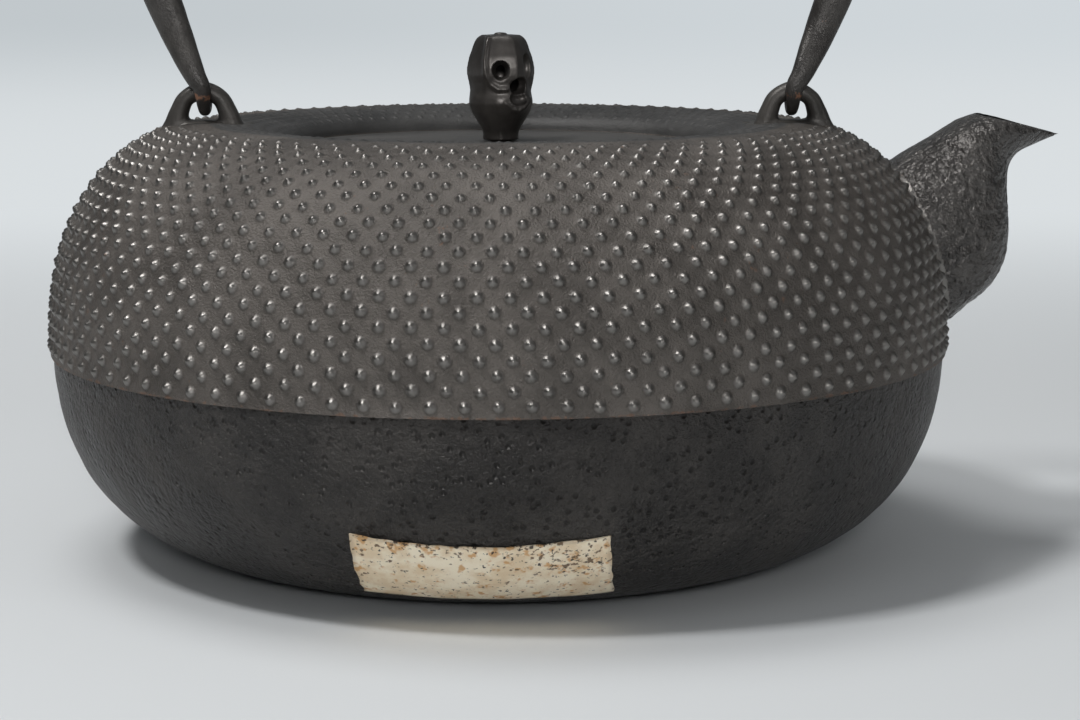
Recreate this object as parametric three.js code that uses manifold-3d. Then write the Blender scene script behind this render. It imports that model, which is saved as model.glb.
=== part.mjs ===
// Cast iron kettle: a low round body with a studded shoulder, a loose lid and a swinging bail.
// Millimetres, +Z up, spout along +X, origin at the centre of the flat base.

import * as THREE from 'three';
import { mergeVertices } from 'three/addons/utils/BufferGeometryUtils.js';
import Module from 'manifold-3d';

const wasm = await Module();
wasm.setup();

// Clearances
const SEAT_GAP = 0.3;
const LID_SIDE_CLEARANCE = 0.6;
const SKIRT_CLEARANCE = 1.5;
const TANG_CLEARANCE = 0.3;
const HOOK_CLEARANCE = 0.45;

// Body shell, sizes over the stud tips
const BODY_RADIUS = 100;
const WIDEST_HEIGHT = 52;
const CREST_RADIUS = 61.6;
const CREST_HEIGHT = 94.5;
const BASE_RADIUS = 50;
const SHOULDER_FULLNESS = 2.1;
const BELLY_FULLNESS = 2.3;
const BODY_WALL = 3.6;
const FLOOR_THICKNESS = 4.5;
const FLOOR_CORNER = 2;
const SEAM_HEIGHT = 45;
const SEAM_LEDGE = 0.6;
const SEAM_LEDGE_RISE = 0.2;

// Studs in staggered rows from the mould seam up to the crest
const STUD_HEIGHT = 1.2;
const STUDS_PER_ROW = 96;
const STUD_ROW_PITCH = 3.2;

// Recessed mouth
const DISH_DEPTH = 4.4;
const RECESS_RADIUS = 46;
const RECESS_DEPTH = 3.5;
const LID_SEAT_WIDTH = 5;
const MOUTH_COLLAR_THICKNESS = 3;
const COLLAR_SPREAD = 3;

// Lid with its locating skirt
const LID_RIM_THICKNESS = 2.7;
const LID_CROWN_RISE = 0.8;
const LID_EDGE_ROUND = 0.7;
const SKIRT_THICKNESS = 2;
const SKIRT_DEPTH = 4.5;

// Bud-shaped knob, its tang and the washer under the lid
const KNOB_HEIGHT = 23.4;
const KNOB_RADIUS = 7.3;
const KNOB_LOWER_RADIUS = 6.9;
const KNOB_WAIST_RADIUS = 6.3;
const KNOB_SHOULDER_RADIUS = 6.4;
const KNOB_TOP_RADIUS = 4.9;
const KNOB_NECK_RADIUS = 3.7;
const KNOB_FOOT_RADIUS = 4.3;
const KNOB_WALL = 1.6;
const KNOB_RIBS = 6;
const KNOB_RIB_HEIGHT = 0.6;
const KNOB_HOLE_LEVEL = 14;
const KNOB_HOLLOW_HALF_HEIGHT = 7.7;
const KNOB_BUTTON_RADIUS = 2;
const KNOB_BUTTON_HEIGHT = 0.8;
const KNOB_BUTTON_EDGE = 0.5;
const TANG_RADIUS = 2.2;
const WASHER_RADIUS = 6;
const WASHER_THICKNESS = 1.2;
const PEEN_RADIUS = 3.6;
const PEEN_FACE_RADIUS = 2.5;
const PEEN_HEIGHT = 1.2;
const PEEN_EDGE = 1;

// Worm-eaten holes of the knob: turn about its axis in degrees, height over the hole level, half sizes
const KNOB_HOLES = [
  { turn: -94.5, rise: 0.8, halfWidth: 2, halfHeight: 2.6 },
  { turn: -55, rise: -2.1, halfWidth: 2.7, halfHeight: 2.3 },
  { turn: -17, rise: 3.2, halfWidth: 1.4, halfHeight: 2.8 },
  { turn: 76, rise: -0.6, halfWidth: 2.4, halfHeight: 2.9 },
  { turn: 158, rise: 1.4, halfWidth: 1.9, halfHeight: 3.2 },
];
const KNOB_HOLE_REACH = 3.4;

// Spout outline in the XZ plane. Each point is the distance out from the body's radius and a height,
// over the crest for the upper points and over the widest ring for the lower ones.
const SPOUT_ROOT_TOP = [-13.1, -7];
const SPOUT_REAR_BEND = [-2, 0.5];
const SPOUT_PEAK = [6.1, 1.9];
const SPOUT_TIP = [24.1, -2.3];
const SPOUT_UNDER_LIP = [15.4, -6.7];
const SPOUT_THROAT = [13.3, -14.5];
const SPOUT_BULGE = [13.7, 14];
const SPOUT_CHIN = [8.6, 4];
const SPOUT_ROOT_BOTTOM = [1.3, -1.5];
const SPOUT_ROOT_HALF_WIDTH = 17.5;
const SPOUT_MOUTH_HALF_WIDTH = 9.8;
const SPOUT_FULLNESS = 2.5;
const SPOUT_WALL = 2.4;
const SPOUT_RIM = 1.6;
const SPOUT_REAR_NOTCH = 2.2;
const SPOUT_LIP_SETBACK = 1.8;
const SPOUT_LIP_SPREAD = 2.75;
const SPOUT_LIP_TAPER = 1.15;
const SPOUT_NARROWING = 1.3;
const SPOUT_ROOT_SINK = 2.5;
const SPOUT_ROOT_TUCK = 1.2;
const CHANNEL_ROOT_REACH = 5;
const CHANNEL_ROOT_TUCK = 3;

// Handle ears, cast on the shoulder: bell-shaped plates with an eye
const EAR_OFFSET = 3.85;
const EAR_RISE = 9.1;
const EAR_ROOT_DEPTH = 3;
const EAR_FOOT_HALF_WIDTH = 8.8;
const EAR_CROWN_HALF_WIDTH = 6.6;
const EAR_FLANK_RISE = 5;
const EAR_THICKNESS = 5;
const EAR_EDGE_BEVEL = 1.3;
const EAR_BAR_HEIGHT = 4;
const EYE_HALF_WIDTH = 4;
const EYE_HEIGHT = 4.6;
const EYE_STRAIGHT_HEIGHT = 2.5;

// Bail handle with a hook at each end
const HOOK_OUTWARD_SHIFT = 0.4;
const HOOK_THICKNESS = 3;
const HOOK_START_DEGREES = 258;
const HOOK_END_DEGREES = 95;
const HOOK_TIP_LENGTH = 2;
const HOOK_TIP_SHARE = 0.65;
const HANDLE_RISE = 104;
const HANDLE_LEG_LEAN_DEGREES = 28;
const HANDLE_LEG_REACH = 80;
const HANDLE_TOP_REACH = 70;
const HANDLE_CENTRING_HEIGHT = 16;
const HANDLE_FOOT_WIDTH = 3.9;
const HANDLE_MID_WIDTH = 11;
const HANDLE_MID_DEPTH = 8;
const HANDLE_TAPER_LENGTH = 24;

// Paper label on the lower front
const LABEL_WIDTH = 51;
const LABEL_LENGTH = 22.4;
const LABEL_THICKNESS = 0.3;
const LABEL_TOP_HEIGHT = 19.8;
const LABEL_TURN_DEGREES = -2.5;
const LABEL_CORNER_CUT = 3;

// Facet counts
const BELLY_STEPS = 6;
const DISH_STEPS = 3;
const CAVITY_SEGMENTS = 30;
const CAVITY_STEPS = 6;
const LID_SEGMENTS = 36;
const LID_CROWN_STEPS = 4;
const KNOB_STEPS = 10;
const KNOB_FACETS_PER_RIB = 2;
const TANG_SEGMENTS = 16;
const WASHER_SEGMENTS = 20;
const SPOUT_STATIONS = 8;
const SPOUT_SIDES = 14;
const EAR_CURVE_SEGMENTS = 4;
const HANDLE_SIDES = 8;
const HANDLE_STATIONS = 46;
const HOOK_STATIONS = 10;
const LEG_POINT_CROWDING = 1.2;
const LABEL_ROWS = 3;
const LABEL_COLUMNS = 10;

const DEGREE = Math.PI / 180;
const MERGE_TOLERANCE = 1e-4;
const FINE_STEPS = 60;
const OVERCUT = 2;
const lerp = THREE.MathUtils.lerp;

// Heights and distances that follow from the sizes above
const GROUND_RADIUS = BODY_RADIUS - STUD_HEIGHT;
const GROUND_CREST_HEIGHT = CREST_HEIGHT - STUD_HEIGHT;
const RECESS_TOP_HEIGHT = CREST_HEIGHT - DISH_DEPTH;
const LEDGE_HEIGHT = RECESS_TOP_HEIGHT - RECESS_DEPTH;
const MOUTH_RADIUS = RECESS_RADIUS - LID_SEAT_WIDTH;
const LID_UNDERSIDE = LEDGE_HEIGHT + SEAT_GAP;
const LID_RADIUS = RECESS_RADIUS - LID_SIDE_CLEARANCE;
const LID_RIM_TOP = LID_UNDERSIDE + LID_RIM_THICKNESS;
const LID_TOP = LID_RIM_TOP + LID_CROWN_RISE;
const TANG_BORE = TANG_RADIUS + TANG_CLEARANCE;
const KNOB_FOOT = LID_TOP + SEAT_GAP;
const KNOB_TOP = KNOB_FOOT + KNOB_HEIGHT;
const WASHER_TOP = LID_UNDERSIDE - SEAT_GAP;
const WASHER_BOTTOM = WASHER_TOP - WASHER_THICKNESS;
const PEEN_TOP = WASHER_BOTTOM - SEAT_GAP;
const EAR_DISTANCE = CREST_RADIUS + EAR_OFFSET;
const EAR_TOP_HEIGHT = CREST_HEIGHT + EAR_RISE;
const EAR_FOOT_HEIGHT = CREST_HEIGHT - EAR_ROOT_DEPTH;
const BAR_CENTRE_HEIGHT = EAR_TOP_HEIGHT - EAR_BAR_HEIGHT / 2;
const EYE_TOP_HEIGHT = EAR_TOP_HEIGHT - EAR_BAR_HEIGHT;
const EYE_FLOOR_HEIGHT = EYE_TOP_HEIGHT - EYE_HEIGHT;
const HOOK_OFFSET = EAR_DISTANCE + HOOK_OUTWARD_SHIFT;
const HOOK_BEND_RADIUS = EAR_THICKNESS / 2 + HOOK_CLEARANCE + HOOK_THICKNESS / 2;
const HANDLE_TOP_HEIGHT = BAR_CENTRE_HEIGHT + HANDLE_RISE;

// Material of each finish
const castIron = new THREE.MeshStandardMaterial({ color: 0x2f2a27, roughness: 0.55, metalness: 0.6 });
const lidIron = new THREE.MeshStandardMaterial({ color: 0x34302e, roughness: 0.6, metalness: 0.6 });
const knobIron = new THREE.MeshStandardMaterial({ color: 0x1f1b19, roughness: 0.4, metalness: 0.6 });
const forgedIron = new THREE.MeshStandardMaterial({ color: 0x2b2725, roughness: 0.5, metalness: 0.7 });
const washerIron = new THREE.MeshStandardMaterial({ color: 0x3a3532, roughness: 0.6, metalness: 0.7 });
const agedPaper = new THREE.MeshStandardMaterial({ color: 0xcfc3aa, roughness: 0.9, metalness: 0 });

// Solids and booleans

function signedVolume(geometry) {
  const place = geometry.getAttribute('position');
  const index = geometry.getIndex();
  const a = new THREE.Vector3();
  const b = new THREE.Vector3();
  const c = new THREE.Vector3();
  let volume = 0;
  for (let i = 0; i < index.count; i += 3) {
    a.fromBufferAttribute(place, index.getX(i));
    b.fromBufferAttribute(place, index.getX(i + 1));
    c.fromBufferAttribute(place, index.getX(i + 2));
    volume += a.dot(b.cross(c)) / 6;
  }
  return volume;
}

function toSolid(source) {
  const bare = source.clone();
  bare.deleteAttribute('normal');
  bare.deleteAttribute('uv');
  const merged = mergeVertices(bare, MERGE_TOLERANCE);
  const corners = Array.from(merged.getIndex().array);
  const inward = signedVolume(merged) < 0;
  const triangles = [];
  for (let i = 0; i < corners.length; i += 3) {
    const [a, b, c] = corners.slice(i, i + 3);
    if (a === b || b === c || c === a) continue;
    triangles.push(a, inward ? c : b, inward ? b : c);
  }
  return new wasm.Manifold(new wasm.Mesh({
    numProp: 3,
    vertProperties: new Float32Array(merged.getAttribute('position').array),
    triVerts: new Uint32Array(triangles),
  }));
}

function toMesh(name, solid, material) {
  const result = solid.getMesh();
  const geometry = new THREE.BufferGeometry();
  geometry.setAttribute('position', new THREE.BufferAttribute(new Float32Array(result.vertProperties), 3));
  geometry.setIndex(new THREE.BufferAttribute(new Uint32Array(result.triVerts), 1));
  geometry.computeVertexNormals();
  const mesh = new THREE.Mesh(geometry, material);
  mesh.name = name;
  return mesh;
}

function closedGeometry(points, triangles) {
  const geometry = new THREE.BufferGeometry();
  const positions = points.flatMap((point) => [point.x, point.y, point.z]);
  geometry.setAttribute('position', new THREE.Float32BufferAttribute(positions, 3));
  geometry.setIndex(triangles);
  return geometry;
}

// Shape helpers

// One quarter of a superellipse from (a, 0) to (0, b), both ends included.
function quarterArc(a, b, fullness, steps) {
  const points = [];
  for (let i = 0; i <= steps; i += 1) {
    const angle = (i / steps) * (Math.PI / 2);
    points.push([
      a * Math.pow(Math.max(Math.cos(angle), 0), 2 / fullness),
      b * Math.pow(Math.sin(angle), 2 / fullness),
    ]);
  }
  return points;
}

// A solid of revolution about Z. The profile is [radius, height] and starts and ends on the axis.
function revolve(profile, segments) {
  const points = profile.map(([radius, height]) => new THREE.Vector2(radius, height));
  return new THREE.LatheGeometry(points, segments).rotateX(Math.PI / 2);
}

// A ring-shaped solid of revolution: the profile closes on itself away from the axis.
function revolveRing(profile, segments) {
  return revolve([...profile, profile[0]], segments);
}

// Points of one level ring about Z. The place function gives [radius, height] for each point's number.
function ringPoints(count, place) {
  return Array.from({ length: count }, (_, j) => {
    const [radius, height] = place(j);
    const turn = (j / count) * Math.PI * 2;
    return new THREE.Vector3(radius * Math.cos(turn), radius * Math.sin(turn), height);
  });
}

// Joins closed loops of equal length into one closed skin with flat ends.
function loft(loops) {
  const sides = loops[0].length;
  const triangles = [];
  for (let i = 0; i < loops.length - 1; i += 1) {
    for (let j = 0; j < sides; j += 1) {
      const next = (j + 1) % sides;
      const a = i * sides + j;
      const b = i * sides + next;
      const c = (i + 1) * sides + j;
      const d = (i + 1) * sides + next;
      triangles.push(a, b, d, a, d, c);
    }
  }
  const last = (loops.length - 1) * sides;
  for (let j = 1; j < sides - 1; j += 1) {
    triangles.push(0, j + 1, j, last, last + j, last + j + 1);
  }
  return closedGeometry(loops.flat(), triangles);
}

// Triangles between two rings of one count. Between two staggered rings the diagonals join hollow to hollow,
// so that each tip stands on four faces.
function evenBand(lower, upper, count, staggeredRow) {
  const triangles = [];
  for (let j = 0; j < count; j += 1) {
    const next = (j + 1) % count;
    const [a, b, c, d] = [lower + j, lower + next, upper + j, upper + next];
    const tipFirst = staggeredRow !== undefined && (staggeredRow + j) % 2 === 0;
    triangles.push(...(tipFirst ? [a, b, c, b, d, c] : [a, b, d, a, d, c]));
  }
  return triangles;
}

// Triangles between a ring and one that has twice or half as many points.
function changingBand(lower, lowerCount, upper, upperCount) {
  const triangles = [];
  const few = Math.min(lowerCount, upperCount);
  for (let j = 0; j < few; j += 1) {
    const next = (j + 1) % few;
    const twin = 2 * j;
    if (lowerCount > upperCount) {
      const [a, b, c] = [lower + twin, lower + twin + 1, lower + 2 * next];
      triangles.push(a, b, upper + j, b, upper + next, upper + j, b, c, upper + next);
    } else {
      const [a, b, c] = [upper + twin, upper + twin + 1, upper + 2 * next];
      triangles.push(lower + j, b, a, lower + j, lower + next, b, lower + next, c, b);
    }
  }
  return triangles;
}

// A closed skin over rings about Z, closed at both ends by a point on the axis. Each ring has its points and,
// in a staggered pattern, the number of its row.
function ringSkin(rings) {
  const points = rings.flatMap((ring) => ring.points);
  const starts = [];
  let start = 0;
  for (const ring of rings) {
    starts.push(start);
    start += ring.points.length;
  }
  const triangles = [];
  for (let i = 0; i < rings.length - 1; i += 1) {
    const [lower, upper] = [rings[i], rings[i + 1]];
    const [lowerCount, upperCount] = [lower.points.length, upper.points.length];
    const staggered = upper.row === undefined ? undefined : lower.row;
    triangles.push(...(lowerCount === upperCount
      ? evenBand(starts[i], starts[i + 1], lowerCount, staggered)
      : changingBand(starts[i], lowerCount, starts[i + 1], upperCount)));
  }
  const bottomCount = rings[0].points.length;
  const top = rings[rings.length - 1].points;
  const topStart = starts[rings.length - 1];
  const bottomCentre = points.push(new THREE.Vector3(0, 0, rings[0].points[0].z)) - 1;
  const topCentre = points.push(new THREE.Vector3(0, 0, top[0].z)) - 1;
  for (let j = 0; j < bottomCount; j += 1) triangles.push(bottomCentre, (j + 1) % bottomCount, j);
  for (let j = 0; j < top.length; j += 1) {
    triangles.push(topStart + j, topStart + ((j + 1) % top.length), topCentre);
  }
  return closedGeometry(points, triangles);
}

// Radius of a rising profile at one height.
function radiusOn(profile, height) {
  for (let i = 0; i < profile.length - 1; i += 1) {
    const [r0, z0] = profile[i];
    const [r1, z1] = profile[i + 1];
    if (z0 <= height && height <= z1) return lerp(r0, r1, (height - z0) / (z1 - z0));
  }
  return profile[profile.length - 1][0];
}

function profileLength(profile) {
  let total = 0;
  for (let i = 1; i < profile.length; i += 1) {
    total += Math.hypot(profile[i][0] - profile[i - 1][0], profile[i][1] - profile[i - 1][1]);
  }
  return total;
}

// The point at a distance up a rising profile, moved outward square to the surface by a lift.
function pointAlong(profile, distance, lift = 0) {
  let left = Math.max(distance, 0);
  let i = 1;
  const step = (k) => Math.hypot(profile[k][0] - profile[k - 1][0], profile[k][1] - profile[k - 1][1]);
  while (i < profile.length - 1 && left > step(i)) {
    left -= step(i);
    i += 1;
  }
  const [r0, z0] = profile[i - 1];
  const [r1, z1] = profile[i];
  const length = step(i);
  const share = Math.min(left / length, 1);
  return [
    lerp(r0, r1, share) + (lift * (z1 - z0)) / length,
    lerp(z0, z1, share) - (lift * (r1 - r0)) / length,
  ];
}

// Body outline

// Radius and height of the smooth ground from the base to the widest ring.
function bellyProfile(inset, steps) {
  const corner = BASE_RADIUS - inset;
  return quarterArc(GROUND_RADIUS - inset - corner, WIDEST_HEIGHT - inset, BELLY_FULLNESS, steps)
    .map(([x, z]) => [corner + x, WIDEST_HEIGHT - z])
    .reverse();
}

// Radius and height of the smooth ground from the widest ring up to the crest.
function shoulderProfile(inset, steps) {
  const width = GROUND_RADIUS - inset - CREST_RADIUS;
  return quarterArc(width, GROUND_CREST_HEIGHT - inset - WIDEST_HEIGHT, SHOULDER_FULLNESS, steps)
    .map(([x, z]) => [CREST_RADIUS + x, WIDEST_HEIGHT + z]);
}

// From the crest inward and down to the edge of the lid recess.
function dishProfile(steps) {
  const depth = GROUND_CREST_HEIGHT - RECESS_TOP_HEIGHT;
  return quarterArc(depth, CREST_RADIUS - RECESS_RADIUS, 2, steps)
    .map(([drop, inward]) => [CREST_RADIUS - inward, RECESS_TOP_HEIGHT + drop]);
}

// Rows of the studded skin, from the ledge of the seam to the crest. In each row every second point is the tip
// of a stud, and the next row is turned by half a stud.
function studdedRings(ledge, count) {
  const ground = [
    ledge,
    ...bellyProfile(0, FINE_STEPS).filter(([, height]) => height > ledge[1] && height < WIDEST_HEIGHT),
    ...shoulderProfile(0, FINE_STEPS),
  ];
  const total = profileLength(ground);
  const rows = Math.round(total / STUD_ROW_PITCH);
  const rings = [];
  for (let row = 0; row <= rows; row += 1) {
    const distance = (total * row) / rows;
    const hollow = pointAlong(ground, distance);
    const tip = row === 0 || row === rows ? hollow : pointAlong(ground, distance, STUD_HEIGHT);
    rings.push({ row, points: ringPoints(count, (j) => ((row + j) % 2 === 0 ? tip : hollow)) });
  }
  return rings;
}

function outerBody() {
  const segments = Math.round(STUDS_PER_ROW / 2);
  const plain = (place, count) => ({ points: ringPoints(count, () => place) });
  const seamEdge = [radiusOn(bellyProfile(0, FINE_STEPS), SEAM_HEIGHT), SEAM_HEIGHT];
  const ledge = [seamEdge[0] + SEAM_LEDGE, SEAM_HEIGHT + SEAM_LEDGE_RISE];
  const belly = bellyProfile(0, BELLY_STEPS).filter(([, height]) => height < SEAM_HEIGHT - OVERCUT);
  const [, dishTop, ...dish] = dishProfile(DISH_STEPS);
  return toSolid(ringSkin([
    ...belly.map((place) => plain(place, segments)),
    plain(seamEdge, 2 * segments),
    ...studdedRings(ledge, 4 * segments),
    plain(dishTop, 2 * segments),
    ...dish.map((place) => plain(place, segments)),
  ]));
}

function waterCavity() {
  const collar = LEDGE_HEIGHT - MOUTH_COLLAR_THICKNESS;
  const collarRadius = RECESS_RADIUS + COLLAR_SPREAD;
  const roof = GROUND_CREST_HEIGHT - BODY_WALL;
  const fall = [];
  for (let i = 1; i <= DISH_STEPS; i += 1) {
    const share = i / DISH_STEPS;
    const ease = (1 - Math.cos(Math.PI * share)) / 2;
    fall.push([lerp(CREST_RADIUS, collarRadius, share), lerp(roof, collar, ease)]);
  }
  const cornerTop = FLOOR_THICKNESS + FLOOR_CORNER;
  const belly = bellyProfile(BODY_WALL, CAVITY_STEPS).filter(([, height]) => height > cornerTop);
  return toSolid(revolve([
    [0, FLOOR_THICKNESS],
    [radiusOn(bellyProfile(BODY_WALL, FINE_STEPS), cornerTop) - FLOOR_CORNER, FLOOR_THICKNESS],
    ...belly.slice(0, -1),
    ...shoulderProfile(BODY_WALL, CAVITY_STEPS),
    ...fall,
    [0, collar],
  ], CAVITY_SEGMENTS));
}

function mouthCut() {
  const above = CREST_HEIGHT + OVERCUT;
  const below = LEDGE_HEIGHT - MOUTH_COLLAR_THICKNESS - OVERCUT;
  return toSolid(revolve([
    [0, below],
    [MOUTH_RADIUS, below],
    [MOUTH_RADIUS, LEDGE_HEIGHT],
    [RECESS_RADIUS, LEDGE_HEIGHT],
    [RECESS_RADIUS, above],
    [0, above],
  ], Math.round(STUDS_PER_ROW / 2)));
}

// Spout

const fromCrest = ([out, up]) => new THREE.Vector2(BODY_RADIUS + out, CREST_HEIGHT + up);
const fromWidest = ([out, up]) => new THREE.Vector2(BODY_RADIUS + out, WIDEST_HEIGHT + up);

const spoutRear = new THREE.QuadraticBezierCurve(
  fromCrest(SPOUT_ROOT_TOP),
  fromCrest(SPOUT_REAR_BEND),
  fromCrest(SPOUT_PEAK),
);
const spoutFront = new THREE.SplineCurve([
  ...[SPOUT_ROOT_BOTTOM, SPOUT_CHIN, SPOUT_BULGE].map(fromWidest),
  ...[SPOUT_THROAT, SPOUT_UNDER_LIP, SPOUT_TIP].map(fromCrest),
]);

// Half width across the spout at share u of the way from its rear edge to its front edge.
// Full and round at the root, drawn out to a point at the lip.
function spoutHalfWidth(u, along) {
  const round = Math.pow(1 - Math.pow(Math.abs(2 * u - 1), SPOUT_FULLNESS), 1 / SPOUT_FULLNESS);
  const pointed = SPOUT_LIP_SPREAD * Math.sqrt(u) * Math.pow(1 - u, SPOUT_LIP_TAPER);
  const half = lerp(SPOUT_ROOT_HALF_WIDTH, SPOUT_MOUTH_HALF_WIDTH, Math.pow(along, SPOUT_NARROWING));
  return half * lerp(round, pointed, Math.pow(along, 3));
}

// Rear and front edge at one station, set in from the outside. The inset runs square to the wall low in the
// spout, and along the rim at its mouth, where a notch opens the rim behind its peak.
function spoutEdges(along, inset, notch) {
  const rear = spoutRear.getPoint(along);
  const front = spoutFront.getPoint(along);
  const across = front.clone().sub(rear).normalize();
  const rearTangent = spoutRear.getTangent(along);
  const frontTangent = spoutFront.getTangent(along);
  const rearInward = new THREE.Vector2(rearTangent.y, -rearTangent.x).lerp(across, along);
  const lipInward = across.clone().multiplyScalar(-SPOUT_LIP_SETBACK);
  const frontInward = new THREE.Vector2(-frontTangent.y, frontTangent.x).lerp(lipInward, Math.pow(along, 3));
  const rearInset = lerp(inset, -notch, Math.pow(along, 8));
  return [rear.addScaledVector(rearInward, rearInset), front.addScaledVector(frontInward, inset)];
}

// One loop of the spout's skin, moved along the spout by a shift.
function spoutLoop(along, inset, shift, notch = 0) {
  const [rear, front] = spoutEdges(along, inset, notch);
  const across = front.clone().sub(rear);
  const onward = new THREE.Vector2(-across.y, across.x).normalize();
  const narrowing = 1 - inset / spoutHalfWidth(0.4, along);
  return Array.from({ length: SPOUT_SIDES }, (_, i) => {
    const turn = (i / SPOUT_SIDES) * Math.PI * 2;
    const u = (1 - Math.cos(turn)) / 2;
    const spot = rear.clone().addScaledVector(across, u).addScaledVector(onward, shift);
    return new THREE.Vector3(spot.x, Math.sign(Math.sin(turn)) * spoutHalfWidth(u, along) * narrowing, spot.y);
  });
}

function spoutOuter() {
  const loops = [spoutLoop(0, SPOUT_ROOT_TUCK, -SPOUT_ROOT_SINK)];
  for (let i = 0; i <= SPOUT_STATIONS; i += 1) loops.push(spoutLoop(i / SPOUT_STATIONS, 0, 0));
  return toSolid(loft(loops));
}

function spoutChannel() {
  const loops = [spoutLoop(0, SPOUT_WALL + CHANNEL_ROOT_TUCK, -BODY_WALL - CHANNEL_ROOT_REACH)];
  for (let i = 0; i <= SPOUT_STATIONS; i += 1) {
    const along = i / SPOUT_STATIONS;
    loops.push(spoutLoop(along, lerp(SPOUT_WALL, SPOUT_RIM, along), 0, SPOUT_REAR_NOTCH));
  }
  loops.push(spoutLoop(1, SPOUT_RIM, OVERCUT, SPOUT_REAR_NOTCH));
  return toSolid(loft(loops));
}

// Ears

function earSolid(side) {
  const bevel = EAR_EDGE_BEVEL;
  const foot = EAR_FOOT_HALF_WIDTH - bevel;
  const crown = EAR_CROWN_HALF_WIDTH - bevel;
  const top = EAR_TOP_HEIGHT - bevel;
  const flank = EAR_FOOT_HEIGHT + EAR_FLANK_RISE;
  const outline = new THREE.Shape();
  outline.moveTo(-foot, EAR_FOOT_HEIGHT);
  outline.lineTo(foot, EAR_FOOT_HEIGHT);
  outline.bezierCurveTo(foot, flank, crown, top, 0, top);
  outline.bezierCurveTo(-crown, top, -foot, flank, -foot, EAR_FOOT_HEIGHT);
  const half = EYE_HALF_WIDTH + bevel;
  const floor = EYE_FLOOR_HEIGHT - bevel;
  const spring = EYE_FLOOR_HEIGHT + EYE_STRAIGHT_HEIGHT;
  const arch = EYE_TOP_HEIGHT + bevel;
  const eye = new THREE.Path();
  eye.moveTo(-half, floor);
  eye.lineTo(-half, spring);
  eye.quadraticCurveTo(-half, arch, 0, arch);
  eye.quadraticCurveTo(half, arch, half, spring);
  eye.lineTo(half, floor);
  eye.closePath();
  outline.holes.push(eye);
  const depth = EAR_THICKNESS - 2 * bevel;
  const geometry = new THREE.ExtrudeGeometry(outline, {
    depth, bevelThickness: bevel, bevelSize: bevel, bevelSegments: 1, curveSegments: EAR_CURVE_SEGMENTS,
  });
  geometry.rotateX(Math.PI / 2).translate(side * EAR_DISTANCE, depth / 2, 0);
  return toSolid(geometry);
}

function kettleBody() {
  return outerBody()
    .add(spoutOuter())
    .add(earSolid(-1))
    .add(earSolid(1))
    .subtract(waterCavity())
    .subtract(mouthCut())
    .subtract(spoutChannel());
}

// Lid, knob and washer

function lidSolid() {
  const skirtOuter = MOUTH_RADIUS - SKIRT_CLEARANCE;
  const skirtInner = skirtOuter - SKIRT_THICKNESS;
  const crown = [];
  for (let i = 0; i <= LID_CROWN_STEPS; i += 1) {
    const radius = lerp(LID_RADIUS - LID_EDGE_ROUND, TANG_BORE, i / LID_CROWN_STEPS);
    const share = radius / LID_RADIUS;
    crown.push([radius, LID_TOP - LID_CROWN_RISE * share * share]);
  }
  return toSolid(revolveRing([
    [TANG_BORE, LID_UNDERSIDE],
    [skirtInner, LID_UNDERSIDE],
    [skirtInner, LID_UNDERSIDE - SKIRT_DEPTH],
    [skirtOuter, LID_UNDERSIDE - SKIRT_DEPTH],
    [skirtOuter, LID_UNDERSIDE],
    [LID_RADIUS, LID_UNDERSIDE],
    [LID_RADIUS, LID_RIM_TOP - LID_EDGE_ROUND],
    ...crown,
  ], LID_SEGMENTS));
}

// Radius of the bud at a share of its height: flared foot, neck, lower swelling, waist, shoulder and top.
const knobOutline = new THREE.SplineCurve([
  new THREE.Vector2(0, KNOB_FOOT_RADIUS),
  new THREE.Vector2(0.08, KNOB_NECK_RADIUS),
  new THREE.Vector2(0.34, KNOB_LOWER_RADIUS),
  new THREE.Vector2(0.48, KNOB_WAIST_RADIUS),
  new THREE.Vector2(0.66, KNOB_RADIUS),
  new THREE.Vector2(0.84, KNOB_SHOULDER_RADIUS),
  new THREE.Vector2(1, KNOB_TOP_RADIUS),
]).getPoints(FINE_STEPS);

function knobBud() {
  const loops = [];
  for (let i = 0; i <= KNOB_STEPS; i += 1) {
    const share = i / KNOB_STEPS;
    const radius = knobOutline.find((point) => point.x >= share).y;
    const ribs = KNOB_RIB_HEIGHT * Math.sin(Math.PI * share);
    const turnOf = (j) => (j / (KNOB_RIBS * KNOB_FACETS_PER_RIB)) * Math.PI * 2;
    loops.push(ringPoints(KNOB_RIBS * KNOB_FACETS_PER_RIB, (j) => [
      radius + ribs * Math.cos(KNOB_RIBS * turnOf(j)),
      KNOB_FOOT + share * KNOB_HEIGHT,
    ]));
  }
  return toSolid(loft(loops));
}

// An ellipsoid with its first axis pointing away from the knob's axis at a turn about it.
function wormHole(distance, turn, height, radii) {
  const geometry = new THREE.SphereGeometry(1, 9, 6);
  geometry.rotateX(Math.PI / 2).scale(...radii).translate(distance, 0, height).rotateZ(turn * DEGREE);
  return toSolid(geometry);
}

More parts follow.
